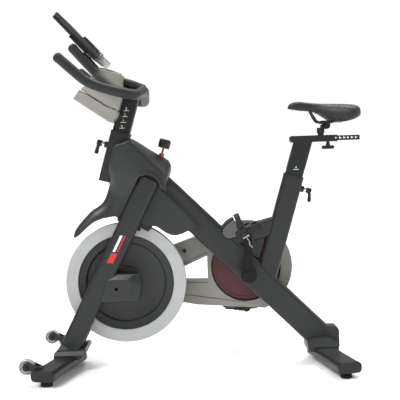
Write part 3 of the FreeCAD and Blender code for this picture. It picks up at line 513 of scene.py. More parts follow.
def make_shroud():
    """Each side: a cowl that runs from the hood down into the fender, and a belly cover."""
    cowl = [(-0.2185, 0.8490), (-0.252, 0.8435), (-0.283, 0.832), (-0.299, 0.787),
            (-0.3095, 0.745), (-0.3107, 0.712), (-0.310, 0.684), (-0.322, 0.645),
            (-0.336, 0.619), (-0.356, 0.602), (-0.378, 0.589), (-0.407, 0.561),
            (-0.428, 0.538), (-0.443, 0.518), (-0.450, 0.500), (-0.449, 0.487),
            (-0.437, 0.494), (-0.418, 0.511), (-0.398, 0.528), (-0.372, 0.546),
            (-0.345, 0.557), (-0.318, 0.563), (-0.288, 0.567), (-0.269, 0.5668),
            (-0.250, 0.600), (-0.229, 0.640), (-0.2085, 0.680), (-0.194, 0.708),
            (-0.181, 0.7125), (-0.167, 0.7165), (-0.146, 0.712), (-0.1286, 0.698),
            (-0.117, 0.6735), (-0.0985, 0.6545), (-0.092, 0.675), (-0.0865, 0.6975),
            (-0.080, 0.722), (-0.0785, 0.745), (-0.085, 0.762), (-0.098, 0.7735),
            (-0.155, 0.808)]
    belly = [(-0.285, 0.735), (-0.290, 0.650), (-0.290, 0.5675), (-0.255, 0.567),
             (-0.215, 0.552), (-0.183, 0.5330), (-0.160, 0.5275), (-0.137, 0.5235),
             (-0.107, 0.5025), (-0.088, 0.4930), (-0.071, 0.4895), (-0.050, 0.4930),
             (-0.0275, 0.502), (0.012, 0.518), (0.0235, 0.5235), (0.0215, 0.533),
             (-0.006, 0.564), (-0.030, 0.593), (-0.095, 0.660), (-0.150, 0.712),
             (-0.200, 0.735)]
    fine = 3
    cowl_line = smooth_outline(cowl, fine)
    belly_line = smooth_outline(belly, fine)
    closed = pairs_between(cowl_line, 0, 15 * fine)
    closed += pairs_between(cowl_line, 34 * fine, len(cowl_line))
    arch = pairs_between(cowl_line, 27 * fine, 33 * fine)
    ridge = ((-0.2196, 0.8394), (-0.0892, 0.7006))
    fold = ((-0.2806, 0.8192), (-0.182, 0.7168))
    rear_edge = pairs_between(belly_line, 15 * fine, 19 * fine)

    def cowl_depth(x, z):
        blend = ease(z + 0.35 * (x + 0.25), 0.620, 0.728)
        depth = 0.0375 + 0.0325 * blend
        depth -= 0.95 * max(0.0, beyond(x, z, *ridge))
        depth -= 0.09 * max(0.0, -beyond(x, z, *fold)) * blend
        near = edge_distance(Vector((x, z)), arch)
        return depth + 0.0028 * (1 - ease(near, 0.010, 0.0135)) * ease(x, -0.196, -0.180)

    def cowl_rounding(x, z):
        front = 0.014 + 0.034 * (1 - ease(z, 0.66, 0.77)) * (1 - ease(x, -0.25, -0.2))
        return front + 0.016 * ease(beyond(x, z, *ridge), 0.0, 0.02)

    def belly_depth(x, z):
        near = edge_distance(Vector((x, z)), rear_edge)
        return 0.0350 - 0.007 * (1 - ease(near, 0.004, 0.016))

    for side, name in SIDES:
        upper = crowned_panel("cowl_" + name, cowl_line, closed, cowl_depth, side, 0.003,
                              SHROUD_PLASTIC, "frame", cowl_rounding, 0.005)
        lower = crowned_panel("belly_" + name, belly_line, None, belly_depth, side, 0.0028,
                              SHROUD_PLASTIC, "frame", None, 0.005)
        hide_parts("shroud_" + name)
        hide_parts("shroud_" + name)
        head = [(0, 0), (0.0042, 0), (0.0042, 0.0016), (0.003, 0.0022), (0, 0.0014)]
        lathe("cowl_screw_" + name, head, Vector((-0.2342, side * 0.0693, 0.8045)),
              ACROSS * side, BLACK_PLASTIC, "frame", 24)


def pairs_between(line, first, last):
    count = len(line)
    return [(line[i % count], line[(i + 1) % count]) for i in range(first, last)]


# ---------------------------------------------------------------- saddle
def saddle_half_width(t):
    """Half the saddle's width at t from its nose (0) to its tail (1)."""
    nose = 0.021 * math.sqrt(max(0.0, 1 - (1 - min(t / 0.07, 1)) ** 2))
    flare = 0.056 * ease(t, 0.32, 0.86)
    tail = math.sqrt(max(0.0, 1 - max(0.0, (t - 0.86) / 0.14) ** 2.6))
    return max(0.002, (nose + flare) * (0.25 + 0.75 * tail))


def lerp_table(table, t):
    for (t0, v0), (t1, v1) in zip(table, table[1:]):
        if t <= t1:
            return v0 + (v1 - v0) * (t - t0) / (t1 - t0)
    return table[-1][1]


SADDLE_TOP = ((0.0, 0.9510), (0.034, 0.9610), (0.094, 0.9668), (0.172, 0.9678), (0.29, 0.9640),
              (0.427, 0.9590), (0.62, 0.9545), (0.82, 0.9520), (0.906, 0.9500), (0.966, 0.9440),
              (1.0, 0.9400))
SADDLE_SKIRT = ((0.0, 0.9370), (0.108, 0.9320), (0.28, 0.9268), (0.378, 0.9205),
                (0.455, 0.9095), (0.53, 0.8955), (0.608, 0.8855), (0.685, 0.8835),
                (0.782, 0.8840), (0.88, 0.8905), (0.954, 0.8985), (1.0, 0.9030))


def saddle_mesh(shrink):
    """Closed crowned form: domed top, skirt that hangs lower towards the tail, hollowed below."""
    low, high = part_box("saddle")
    length = high.x - low.x - 2 * shrink
    stations, around = 46, 32
    bm = bmesh.new()
    rows = []
    for i in range(stations + 1):
        t = 0.5 - 0.5 * math.cos(math.pi * i / stations)
        x = low.x + shrink + length * t
        half = max(saddle_half_width(t) - shrink, 0.011 + 0.016 * t)
        top = lerp_table(SADDLE_TOP, t) - shrink
        skirt = lerp_table(SADDLE_SKIRT, t) + shrink * 0.5
        row = []
        for k in range(around):
            a = 2 * math.pi * k / around
            c, s = math.cos(a), math.sin(a)
            y = half * math.copysign(abs(c) ** 0.72, c)
            belt = skirt + (top - skirt) * 0.34
            if s >= 0:
                z = belt + (top - belt) * s ** 0.8
            else:
                hollow = (top - skirt) * 0.10 * ease(abs(s), 0.7, 1.0)
                z = belt + (skirt - belt) * min(1.0, abs(s) * 1.35) + hollow
            row.append(bm.verts.new((x, y, z)))
        rows.append(row)
    bridge(bm, rows)
    bm.faces.new(rows[0])
    bm.faces.new(rows[-1])
    return bm


def swell(obj, frames, pressure, cap):
    """Lets the padding fill out as cloth under pressure, moving no point further than cap."""
    rest = [v.co.copy() for v in obj.data.vertices]
    scene = bpy.context.scene
    cloth = obj.modifiers.new("cloth", "CLOTH")
    cloth.settings.quality = 5
    cloth.settings.mass = 0.3
    cloth.settings.tension_stiffness = 40
    cloth.settings.compression_stiffness = 40
    cloth.settings.bending_stiffness = 8
    cloth.settings.use_pressure = True
    cloth.settings.uniform_pressure_force = pressure
    cloth.settings.effector_weights.gravity = 0
    for number in range(1, frames + 1):
        scene.frame_set(number)
    depsgraph = bpy.context.evaluated_depsgraph_get()
    moved = [v.co.copy() for v in obj.evaluated_get(depsgraph).data.vertices]
    obj.modifiers.clear()
    for vertex, before, after in zip(obj.data.vertices, rest, moved):
        shift = after - before
        if shift.length > cap:
            shift = shift.normalized() * cap
        vertex.co = before + shift
    scene.frame_set(1)


def make_saddle():
    """The pad starts a little small, and the cloth run fills it out."""
    saddle = from_bmesh("saddle_pad", saddle_mesh(0.0018), SADDLE_LEATHER, "saddle")
    add_remesh(saddle, 0.0042)
    apply_modifiers(saddle)
    swell(saddle, 14, 3.0, 0.0022)
    add_smooth(saddle, 4)
    fine = saddle.modifiers.new("fine", "SUBSURF")
    fine.levels = 1
    fine.render_levels = 1
    apply_modifiers(saddle)
    carve_relief(saddle)
    saddle.data.shade_smooth()
    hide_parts("saddle")


def carve_relief(saddle):
    """Shallow channel along the top with sewn lines beside it, and a seam above the skirt."""
    low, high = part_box("saddle")
    for v in saddle.data.vertices:
        t = (v.co.x - low.x) / (high.x - low.x)
        if v.normal.z < 0.3:
            above = v.co.z - lerp_table(SADDLE_SKIRT, t)
            groove = math.exp(-((above - 0.0095) / 0.0022) ** 2) * 0.0013
            if v.normal.z > -0.6 and 0.06 < t < 0.92:
                v.co -= v.normal * groove
            continue
        reach = ease(t, 0.16, 0.3) * (1 - ease(t, 0.86, 0.97))
        channel = math.exp(-(v.co.y / 0.007) ** 2) * 0.0022
        seam_at = 0.011 + 0.030 * ease(t, 0.4, 0.85)
        seam = math.exp(-((abs(v.co.y) - seam_at) / 0.0022) ** 2) * 0.0012
        v.co.z -= reach * (channel + seam)


# ---------------------------------------------------------------- handlebar
def make_bars():
    """Dipped bars: outer bullhorns, inner horns and the rear loop, blended where they meet."""
    y_bar, y_horn, plug = 0.228, 0.110, 0.0165
    half = [(-0.438, y_bar, 1.127), (-0.405, y_bar, 1.097), (-0.372, y_bar, 1.066),
            (-0.346, y_bar, 1.044), (-0.318, y_bar - 0.001, 1.029),
            (-0.280, 0.221, 1.016), (-0.240, 0.214, 1.005), (-0.208, 0.206, 0.998),
            (-0.188, 0.197, 0.995), (-0.1800, 0.178, 0.9965), (-0.1770, 0.140, 1.003),
            (-0.1730, 0.090, 1.012), (-0.1690, 0.045, 1.021)]
    loop = [(x, -y, z) for x, y, z in half] + [(-0.1675, 0, 1.0235)]
    loop += [(x, y, z) for x, y, z in reversed(half)]
    parts = [tube("bars", loop, 0.0175, GRIP, "bar_post", 8)]
    for side, name in SIDES:
        horn = [(-0.407, side * y_horn, 1.174), (-0.372, side * y_horn, 1.133),
                (-0.335, side * y_horn, 1.092), (-0.312, side * (y_horn + 0.006), 1.066),
                (-0.292, side * (y_horn + 0.036), 1.046), (-0.270, side * 0.182, 1.027),
                (-0.240, side * 0.210, 1.008), (-0.215, side * 0.209, 1.000)]
        parts.append(tube("horn_" + name, horn, 0.0172, GRIP, "bar_post", 8))
    spine = [(-0.242, 0, 1.058), (-0.220, 0, 1.051), (-0.195, 0, 1.041), (-0.166, 0, 1.029)]
    parts.append(tube("spine", spine, 0.0172, GRIP, "bar_post", 8))
    bars = join(parts, "handlebar_grip")
    remeshed(bars, 0.0026, 5)
    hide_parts("handlebar")
    low, high = Vector((-0.248, -0.023, 1.0)), Vector((-0.178, 0.023, 1.04))
    outline = [(low.x, low.z + 0.004), (low.x + 0.006, high.z), (high.x - 0.01, high.z - 0.012),
               (high.x, low.z + 0.004), (high.x - 0.012, low.z), (low.x + 0.01, low.z)]
    prism("bar_bracket", outline, low.y, high.y, POST_PAINT, "bar_post", 0.003)
    profile = [(0, -0.004), (plug + 0.0006, -0.004), (plug + 0.0004, 0.0005),
               (plug - 0.0012, 0.0042), (plug - 0.0042, 0.0076), (0.008, 0.0098),
               (0.004, 0.0106), (0, 0.0107)]
    for side, name in SIDES:
        for label, tip, way in (("outer", (-0.438, side * y_bar, 1.127), (-0.735, 0, 0.678)),
                                ("inner", (-0.407, side * y_horn, 1.174), (-0.66, 0, 0.751))):
            lathe(f"bar_plug_{label}_{name}", profile, Vector(tip), Vector(way), GRIP,
                  "bar_post", 40)


def make_tray():
    """Moulded tray in front of the post: a lower trough, and an upper body with bottle wells."""
    lower = [(-0.4165, 0.997), (-0.393, 1.0288), (-0.293, 0.9625), (-0.272, 0.9553),
             (-0.2575, 0.946), (-0.2635, 0.930), (-0.274, 0.916), (-0.292, 0.9105)]
    upper = [(-0.390, 1.0305), (-0.376, 1.040), (-0.323, 1.107), (-0.240, 1.079),
             (-0.244, 0.998), (-0.2575, 0.9485), (-0.2715, 0.9575), (-0.2925, 0.9648)]
    low = prism("tray_trough", lower, -0.0875, 0.0875, TRAY_PLASTIC, "bar_post", 0.004, 4)
    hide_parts("tray_lower")
    body = prism("tray_body", upper, -0.0855, 0.0855, TRAY_PLASTIC, "bar_post", 0.006, 4)
    deep = Vector((-0.32, 0, -0.947)).normalized()
    for side, name in SIDES:
        mouth = Vector((-0.281, side * 0.043, 1.093)) - deep * 0.03
        tool = lathe("well_tool_" + name, [(0, 0), (0.036, 0), (0.036, 0.12), (0, 0.12)],
                     mouth, deep, GUARD_PLASTIC, "bar_post", 64)
        cut(body, tool)
        # A raised lip ring round the well; its dark colour is painted shade along the rim.
        lip = [(0.0362, 0.0275), (0.0402, 0.0275), (0.0402, 0.031), (0.0362, 0.034)]
        lathe("well_lip_rim_shade_" + name, lip, mouth, deep, CONSOLE_PLASTIC, "bar_post", 64)
    slice_behind(body, Vector((-0.2435, 0, 0.92)))
    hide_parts("tray_upper")


def slice_behind(body, centre):
    """Cuts the leaning slot that the handlebar post passes through."""
    front, back, half = -0.0335, 0.08, 0.0212
    ends = [[centre + UP_POST * along + OUT_POST * out + Vector((0, y, 0))
             for out, y in ((front, -half), (back, -half), (back, half), (front, half))]
            for along in (-0.08, 0.16)]
    cut(body, from_bmesh("post_slot_tool", block_mesh(*ends), GUARD_PLASTIC, "bar_post", False))


def cut(obj, tool):
    """Takes tool's volume out of obj, and deletes the tool."""
    apply_modifiers(obj)
    mod = obj.modifiers.new("cut", "BOOLEAN")
    mod.operation = "DIFFERENCE"
    mod.solver = "EXACT"
    mod.object = tool
    apply_modifiers(obj)
    bpy.data.objects.remove(tool)
    sharp_by_angle(obj, 35)


def make_tablet_rest():
    """Tilted rest: a two-tone plate, a display housing, and the ledge that a tablet stands on."""
    base = Vector((-0.4655, 0, 1.294))
    run = Vector((0.138, 0, -0.152)).normalized()
    face = Vector((0.152, 0, 0.138)).normalized()
    length = (Vector((-0.323, 0, 1.137)) - base).length

    def slab_on(name, starts, ends, low, high, half, material, width, segments=4):
        corners = [base + run * a + face * b for a, b in
                   ((starts, low), (ends, low), (ends, high), (starts, high))]
        sides = [[c + Vector((0, y, 0)) for c in corners] for y in (-half, half)]
        return bevel(from_bmesh(name, block_mesh(*sides), material, "bar_post"), width, segments)

    back = slab_on("tablet_back", 0.0012, length, -0.0129, 0.0015, 0.1085, BLACK_PLASTIC, 0.005)
    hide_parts("tablet_plate")
    front = slab_on("tablet_front", 0.0, length, -0.0020, 0.0129, 0.110, CONSOLE_PLASTIC, 0.005)
    slab_on("tablet_pad", 0.018, length - 0.02, 0.0115, 0.0132, 0.095, RUBBER, 0.0005, 2)
    slab_on("tablet_carrier", 0.094, 0.176, -0.0188, -0.0120, 0.1195, BLACK_PLASTIC, 0.002)
    clip = slab_on("display_housing", 0.118, 0.194, 0.0125, 0.0228, 0.059, CONSOLE_PLASTIC, 0.003)
    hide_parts("tablet_clip")
    slab_on("display_window", 0.126, 0.172, 0.0225, 0.0235, 0.045, BLACK_PLASTIC, 0.0004, 2)
    ledge = slab_on("tablet_shelf", 0.2085, 0.2300, -0.0075, 0.0198, 0.0945, LEDGE_PLASTIC,
                    0.005)
    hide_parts("tablet_ledge")
    # Painted shade: a black strip in the gap between the plate and the shelf, and a dark strip
    # along the shelf's groove.
    slab_on("tablet_gap_shade", 0.2045, 0.2092, -0.0070, 0.0150, 0.0935, BLACK_PLASTIC, 0.001, 2)
    slab_on("tablet_groove_shade", 0.2180, 0.2192, -0.0080, 0.0200, 0.0948, PAINTED_LINE_SHADE, 0.0002, 1)


# ---------------------------------------------------------------- small round parts
def make_lever(name, top, drop, sign):
    """L-shaped clamping handle with a bright collar."""
    out = OUT_POST * sign
    face, hub_lift, neck_lift, arm_length = 0.0375 + 0.011, 0.0103, 0.0125, 0.036
    axis_point = top - UP_POST * drop
    seat = axis_point + out * face
    body = name + "_lever"
    collar = [(0, 0.001), (0.0085, 0.001), (0.009, 0.002), (0.009, 0.0085), (0.0085, 0.0098),
              (0, 0.0098)]
    bright = lathe(name + "_lever_collar", collar, seat, out, CHROME, body, 40)
    shank = [(0, -0.0155), (0.005, -0.0155), (0.005, 0.0012), (0, 0.0012)]
    lathe(name + "_lever_shank", shank, seat, out, STEEL, body, 32)
    hub_at = axis_point + out * (face + hub_lift)
    hub = [(0, 0), (0.0095, 0), (0.0112, 0.0018), (0.0112, 0.017), (0.009, 0.0195),
           (0.0035, 0.0202), (0, 0.0202)]
    parts = [lathe(name + "_hub", hub, hub_at, out, BLACK_PLASTIC, body, 40)]
    swing = Vector((-0.30, 0, -0.954)) if sign < 0 else Vector((-0.04, 0, -1)).normalized()
    neck = hub_at + out * neck_lift
    arm = [neck] + [neck + swing * (arm_length * thirds / 3) for thirds in (1, 2, 3)]
    parts.append(tube(name + "_arm", arm, 0.0062, BLACK_PLASTIC, body, 6))
    grip_profile = [(0, -0.016), (0.006, -0.015), (0.0072, -0.008), (0.0076, 0.0),
                    (0.006, 0.0055), (0, 0.0068)]
    parts.append(lathe(name + "_knuckle", grip_profile, arm[-1], swing, BLACK_PLASTIC, body, 32))
    handle = join(parts, name + "_lever_handle")
    remeshed(handle, 0.0011, 3)
    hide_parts(body)


def make_brake_knob():
    """Fluted resistance knob with a red ring under it."""
    axis = UP_POST
    foot = Vector((-0.114, 0, 0.779)) + axis * 0.038
    bm = bmesh.new()
    segments, flutes, flute_depth = 96, 16, 0.0011
    profile = [(0, 0), (0.0195, 0), (0.0215, 0.002), (0.0222, 0.006), (0.0222, 0.021),
               (0.0205, 0.026), (0.017, 0.0292), (0.010, 0.0298), (0.008, 0.0288), (0, 0.0288)]
    side = axis.orthogonal().normalized()
    other = axis.cross(side)
    rings = []
    for i in range(segments):
        a = 2 * math.pi * i / segments
        out = side * math.cos(a) + other * math.sin(a)
        flute = flute_depth * (0.5 + 0.5 * math.cos(flutes * a))
        row = []
        for r, h in profile:
            depth = flute if 0.003 < h < 0.024 and r > 0.02 else 0
            row.append(bm.verts.new(foot + out * (r - depth) + axis * h))
        rings.append(row)
    bridge(bm, rings + rings[:1], closed=False)
    bmesh.ops.remove_doubles(bm, verts=bm.verts, dist=SAME_POINT)
    knob = from_bmesh("resistance_knob", bm, BLACK_PLASTIC, "brake_dial")
    sharp_by_angle(knob, 40)
    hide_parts("brake_knob")
    band = [(0.004, -0.0042), (0.0205, -0.0042), (0.0216, -0.003), (0.0216, -0.0008),
            (0.0205, 0.0002), (0.004, 0.0002)]
    ring = lathe("resistance_ring", band, foot, axis, RED_PLASTIC, "brake_dial", 64)


def make_slider_knob():
    """Two-winged knob under the slider, and its screw."""
    low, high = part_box("slider_knob")
    centre = Vector((0.504, 0, low.z))
    bm = bmesh.new()
    outline = []
    segments = 48
    for i in range(segments):
        a = 2 * math.pi * i / segments
        r = 0.0165 + 0.0062 * math.cos(2 * a) + 0.0006 * math.cos(6 * a)
        outline.append((centre.x + r * math.cos(a), r * math.sin(a) * 0.62))
    levels = [(0.80, 0.0), (0.96, 0.0015), (1.0, 0.004), (1.0, 0.009), (0.95, 0.0118),
              (0.72, 0.0130)]
    rows = [[bm.verts.new((centre.x + (x - centre.x) * s, y * s, low.z + h))
             for x, y in outline] for s, h in levels]
    bridge(bm, rows)
    bm.faces.new(rows[0])
    bm.faces.new(rows[-1])
    knob = from_bmesh("slider_wing", bm, BLACK_PLASTIC, "slider_knob")
    sharp_by_angle(knob, 40)
    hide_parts("slider_knob")
    shank = [(0, 0.012), (0.0075, 0.012), (0.0075, 0.020), (0.006, 0.0205),
             (0.006, high.z - low.z), (0, high.z - low.z)]
    lathe("slider_screw", shank, centre, UP, DARK_STEEL, "slider_knob", 32)


def make_transport_wheels():
    """Castors with rounded treads, and a washer and bolt head on each side of each."""
    inside_cad = 0.00002
    washer = [(0, 0), (0.0120, 0), (0.0128, 0.0008), (0.0120, 0.0022), (0.0068, 0.0026),
              (0, 0.0026)]
    cap = [(0, 0.0020), (0.0074, 0.0020), (0.0074, 0.0056), (0.0052, 0.0072),
           (0.0024, 0.0080), (0, 0.0081)]
    for side, name in SIDES:
        node = "transport_wheel_" + name
        low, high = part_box(node)
        centre = (low + high) / 2
        radius = (high.z - low.z) / 2 - inside_cad
        half = (high.y - low.y) / 2
        tread = [(0.0135, -half * 0.6), (radius - 0.006, -half * 0.55),
                 (radius - 0.0045, -half), (radius - 0.001, -half * 0.75), (radius, -half * 0.3),
                 (radius, half * 0.3), (radius - 0.001, half * 0.75), (radius - 0.0045, half),
                 (radius - 0.006, half * 0.55), (0.0135, half * 0.6)]
        wheel = lathe("castor_" + name, tread, centre, ACROSS, WHEEL_PLASTIC, "wheel_" + name, 72)
        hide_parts(node)
        hub = [(0.0041, -half), (0.0115, -half), (0.0125, -half + 0.001), (0.0138, -half * 0.6),
               (0.0138, half * 0.6), (0.0125, half - 0.001), (0.0115, half), (0.0041, half)]
        lathe("castor_hub_" + name, hub, centre, ACROSS, BLACK_PLASTIC, "wheel_" + name, 48)
        for end in (-1, 1):
            label = f"{name}_{'inner' if end * side < 0 else 'outer'}"
            start, way = centre + ACROSS * (end * (half + 0.0048)), ACROSS * end
            lathe("castor_washer_" + label, washer, start, way, BLACK_PLASTIC, "frame", 40)
            lathe("castor_bolt_" + label, cap, start, way, DARK_STEEL, "frame", 32)


def make_feet():
    """Grooved front pads, domed rear ones, and each one's nut and stud."""
    pad = [(0, 0), (0.0205, 0), (0.021, 0.001), (0.021, 0.005), (0.0198, 0.0058),
           (0.0198, 0.0075), (0.0205, 0.0083), (0.0202, 0.0125), (0.018, 0.0165),
           (0.012, 0.018), (0, 0.018)]
    dome = [(0, 0), (0.0205, 0), (0.021, 0.0015), (0.0205, 0.006), (0.018, 0.0115),
            (0.0135, 0.0152), (0.008, 0.0175), (0, 0.018)]
    for end, profile in (("front", pad), ("rear", dome)):
        for name in ("left", "right"):
            node = f"foot_{end}_{name}"
            low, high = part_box(node)
            centre = Vector(((low.x + high.x) / 2, (low.y + high.y) / 2, 0))
            foot = lathe(f"foot_pad_{end}_{name}", profile, centre, UP, RUBBER, node, 48)
            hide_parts(node)
            nut = [(0, 0.0178), (0.008, 0.0178), (0.008, 0.0212), (0.004, 0.0214),
                   (0.004, high.z), (0, high.z)]
            lathe(f"foot_stud_{end}_{name}", nut, centre, UP, STEEL, node, 24)


def make_flywheel_disc():
    """Dark disc with turned grooves, a raised band and a stepped hub."""
    face, web, hub = 0.0118, 0.0045, 0.033
    steps = [(0.0101, hub), (0.030, hub), (0.0335, hub - 0.003), (0.034, 0.020), (0.040, 0.014),
             (0.058, 0.0105), (0.062, web + 0.001), (0.066, web), (0.1400, web),
             (0.1450, web + 0.0012), (0.1480, web + 0.0048), (0.1495, face - 0.001),
             (0.1520, face), (0.1730, face), (0.1755, face + 0.001), (0.1778, face - 0.001)]
    profile = steps + [(r, -h) for r, h in reversed(steps)]
    disc = lathe("flywheel_web", profile, FLYWHEEL, ACROSS, DISC_PAINT, "flywheel", 160)
    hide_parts("flywheel_disc")


def make_caps_and_covers():
    """Moulded end caps and the saddles over the floor bars' middles."""
    for node, width in (("end_caps", 0.006), ("junction_covers", 0.007)):
        obj = NODES[node]
        obj.data.materials.clear()
        obj.data.materials.append(BLACK_PLASTIC if node == "end_caps" else SHROUD_PLASTIC)
        sharp_by_angle(obj, 40)
        bevel(obj, width, 4, 40)


# ---------------------------------------------------------------- marks
def digit_mesh(text, size):
    """A digit in Blender's own font, just raised from its surface."""
    curve = bpy.data.curves.new("digit", "FONT")
    curve.body = text
    curve.size = size
    curve.extrude = 0.00008
    curve.align_x = "CENTER"
    return curve_mesh(curve)


def flat_mark(name, corners, material, body):
    bm = bmesh.new()
    bm.faces.new([bm.verts.new(corner) for corner in corners])
    return from_bmesh(name, bm, material, body, False)


def make_scale(name, body, top, firsts, material):
    """Generic scale on both flanks of a post: short lines with a digit above each."""
    flank, half_length, half_width = 0.02008, 0.010, 0.0009
    digit_size, digit_lift = 0.012, 0.0035
    for number, lift in firsts:
        for side, label in SIDES:
            at = top + UP_POST * lift
            corners = [at + Vector((half_length * a, side * flank, half_width * b))
                       for a, b in ((-1, -1), (1, -1), (1, 1), (-1, 1))]
            thicken(flat_mark(f"{name}_line_{number}_{label}", corners, material, body),
                    0.0001, -1.0)
            mesh = digit_mesh(str(number), digit_size)
            right = Vector((-side, 0, 0))
            turn = Matrix((right, UP, right.cross(UP))).transposed().to_4x4()
            place = Matrix.Translation(at + Vector((0, side * flank, digit_lift)))
            mesh.transform(place @ turn)
            make_object(f"{name}_digit_{number}_{label}", mesh, material, body, False)


def make_slider_marks():
    """White pointers along the slider, and the index dot on the beam."""
    y_face, raised, first_x, pitch = 0.0166, 0.0001, 0.548, 0.0145
    for i in range(5):
        x = first_x + pitch * i
        for side, label in SIDES:
            outline = [(x - 0.0052, 0.8335), (x - 0.0052, 0.8245), (x + 0.0040, 0.829)]
            y0, y1 = sorted((side * (y_face - raised), side * (y_face + raised)))
            prism(f"slider_mark_{i}_{label}", outline, y0, y1, WHITE_MARK, "seat_slider",
                  0.0001, 1)
    for side, label in SIDES:
        dot = [(0, 0.0), (0.0028, 0.0), (0.0028, 0.0005), (0, 0.0005)]
        lathe(f"beam_dot_{label}", dot, Vector((0.530, side * 0.0199, 0.829)), ACROSS * side,
              WHITE_MARK, "seat_post", 24)


def make_stripe():
    """Plain stripes on each leg's flank."""
    low, high = Vector((-0.472, 0, 0.086)), Vector((-0.154, 0, 0.700))
    run = (high - low).normalized()
    out = Vector((run.z, 0, -run.x))
    flank, slant = 0.0671, 0.4
    for side, name in SIDES:
        for label, start, length, shift, half, material in (
                ("red", 0.352, 0.040, -0.001, 0.0105, RED_MARK),
                ("white", 0.398, 0.066, -0.0055, 0.0045, WHITE_MARK),
                ("line", 0.398, 0.066, 0.0068, 0.0022, RED_MARK)):
            end = start + length
            corners = [low + run * (a + (b + shift) * slant) + out * (b + shift)
                       + ACROSS * (side * flank)
                       for a, b in ((start, -half), (end, -half), (end, half), (start, half))]
            thicken(flat_mark(f"leg_stripe_{label}_{name}", corners, material, "frame"), 0.0003)


def make_rails():
    """The two bent rods under the saddle."""
    left = [(0.436, 0.012, 0.935), (0.444, 0.0155, 0.920), (0.453, 0.019, 0.904),
            (0.462, 0.022, 0.8895), (0.478, 0.022, 0.8865), (0.500, 0.022, 0.886),
            (0.522, 0.0225, 0.8866), (0.538, 0.026, 0.895), (0.552, 0.029, 0.906)]
    for side, name in SIDES:
        line = [(x, side * y, z) for x, y, z in left]
        rail = tube("saddle_rail_" + name, line, 0.0035, DARK_STEEL, "saddle", 6)
        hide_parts("saddle_rails")


def make_axle_cover():
    """Moulded cover over the axle's near end: a bevelled lid with a stepped rear end."""
    back = [(-0.352, 0.262), (-0.348, 0.252), (-0.228, 0.2515), (-0.212, 0.262),
            (-0.2025, 0.294), (-0.2035, 0.334), (-0.222, 0.355), (-0.311, 0.352),
            (-0.322, 0.345)]
    face = [(-0.3505, 0.262), (-0.347, 0.2555), (-0.244, 0.2565), (-0.230, 0.268),
            (-0.2265, 0.290), (-0.228, 0.323), (-0.249, 0.3355), (-0.310, 0.3375),
            (-0.319, 0.335)]
    levels = ((back, 0.054), (back, 0.0585), (face, 0.0692), (face, 0.0698))
    bm = bmesh.new()
    rows = [[bm.verts.new((x, -y, z)) for x, z in outline] for outline, y in levels]
    bridge(bm, rows)
    bm.faces.new(rows[-1])
    cover = from_bmesh("axle_lid", bm, SHROUD_PLASTIC, "frame")
    bevel(cover, 0.0022, 3, 20)
    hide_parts("axle_cover")
    hole = [(0, 0.0), (0.0052, 0.0), (0.0052, 0.0009), (0.0064, 0.0012), (0.0068, 0.0005),
            (0.0068, -0.002), (0, -0.002)]
    lathe("axle_lid_eye", hole, Vector((-0.2905, -0.0698, 0.302)), -ACROSS, BLACK_PLASTIC,
          "frame", 32)
    # Painted shade: two dark strips on the lid's face where its grooves are.
    for x in (-0.2405, -0.2345):
        outline = [(x, 0.262), (x + 0.0016, 0.262), (x + 0.0016, 0.328), (x, 0.328)]
        prism(f"axle_lid_groove_shade_{abs(x) * 10000:.0f}", outline, -0.0704, -0.0692, PAINTED_LINE_SHADE,
              "frame", 0.0003, 1)


def ribbon(name, line, y0, y1, thick, material, body, rounding=0.0012):
    """Bent strip: a line in X and Z, widened along Y and given a thickness."""
    bm = bmesh.new()
    rows = [[bm.verts.new((p[0], y, p[1])) for y in (y0, y1)] for p in line]
    bridge(bm, rows, closed=False)
    return bevel(thicken(from_bmesh(name, bm, material, body), thick), rounding, 2, 40)


def make_pedal_dress():
    """Moulded toe shell, strap tail and buckle on each pedal."""
    pedal_out, crank_length = 0.182, 0.170
    for side, name, tilt in ((-1, "left", 21.0), (1, "right", 4.0)):
        centre = side * pedal_out
        eye = Vector((0.192, centre, 0.350 - side * crank_length))
        turn = math.radians(tilt)

        def place(out, up):
            return (eye.x - out * math.cos(turn) - up * math.sin(turn),
                    eye.z - out * math.sin(turn) + up * math.cos(turn))

        shell = [place(a, b) for a, b in ((0.044, -0.004), (0.074, -0.001), (0.0865, 0.010),
                                          (0.0885, 0.026), (0.080, 0.0405), (0.062, 0.050),
                                          (0.044, 0.053))]
        line = [tuple(p) for p in smooth_outline(shell, 4, False)]
        ribbon("toe_shell_" + name, line, centre - 0.031, centre + 0.031, 0.0024, PEDAL_GLOSS,
               "pedal_" + name)
        cheek = [place(a, b) for a, b in ((0.034, 0.0545), (0.058, 0.0505), (0.079, 0.040),
                                          (0.0885, 0.025), (0.0865, 0.010), (0.0755, -0.001),
                                          (0.048, -0.005), (0.036, -0.0045), (0.031, 0.020))]
        for y in (-0.0335, 0.0315):
            prism(f"toe_cheek_{name}_{'far' if y > 0 else 'near'}", cheek, centre + y,
                  centre + y + 0.002, PEDAL_GLOSS, "pedal_" + name, 0.0008, 2)
        tail = [place(a, b) for a, b in ((0.018, -0.020), (0.014, -0.034), (0.017, -0.046),
                                         (0.012, -0.058))]
        tail = [tuple(p) for p in smooth_outline(tail, 4, False)]
        ribbon("strap_tail_" + name, tail, centre + side * 0.030, centre + side * 0.050, 0.0022,
               WEBBING_END, "pedal_" + name, 0.0004)
        buckle = [place(a, b) for a, b in ((0.006, -0.014), (0.030, -0.016))]
        ribbon("strap_buckle_" + name, buckle, centre + side * 0.028, centre + side * 0.052,
               0.005, STEEL, "pedal_" + name, 0.001)


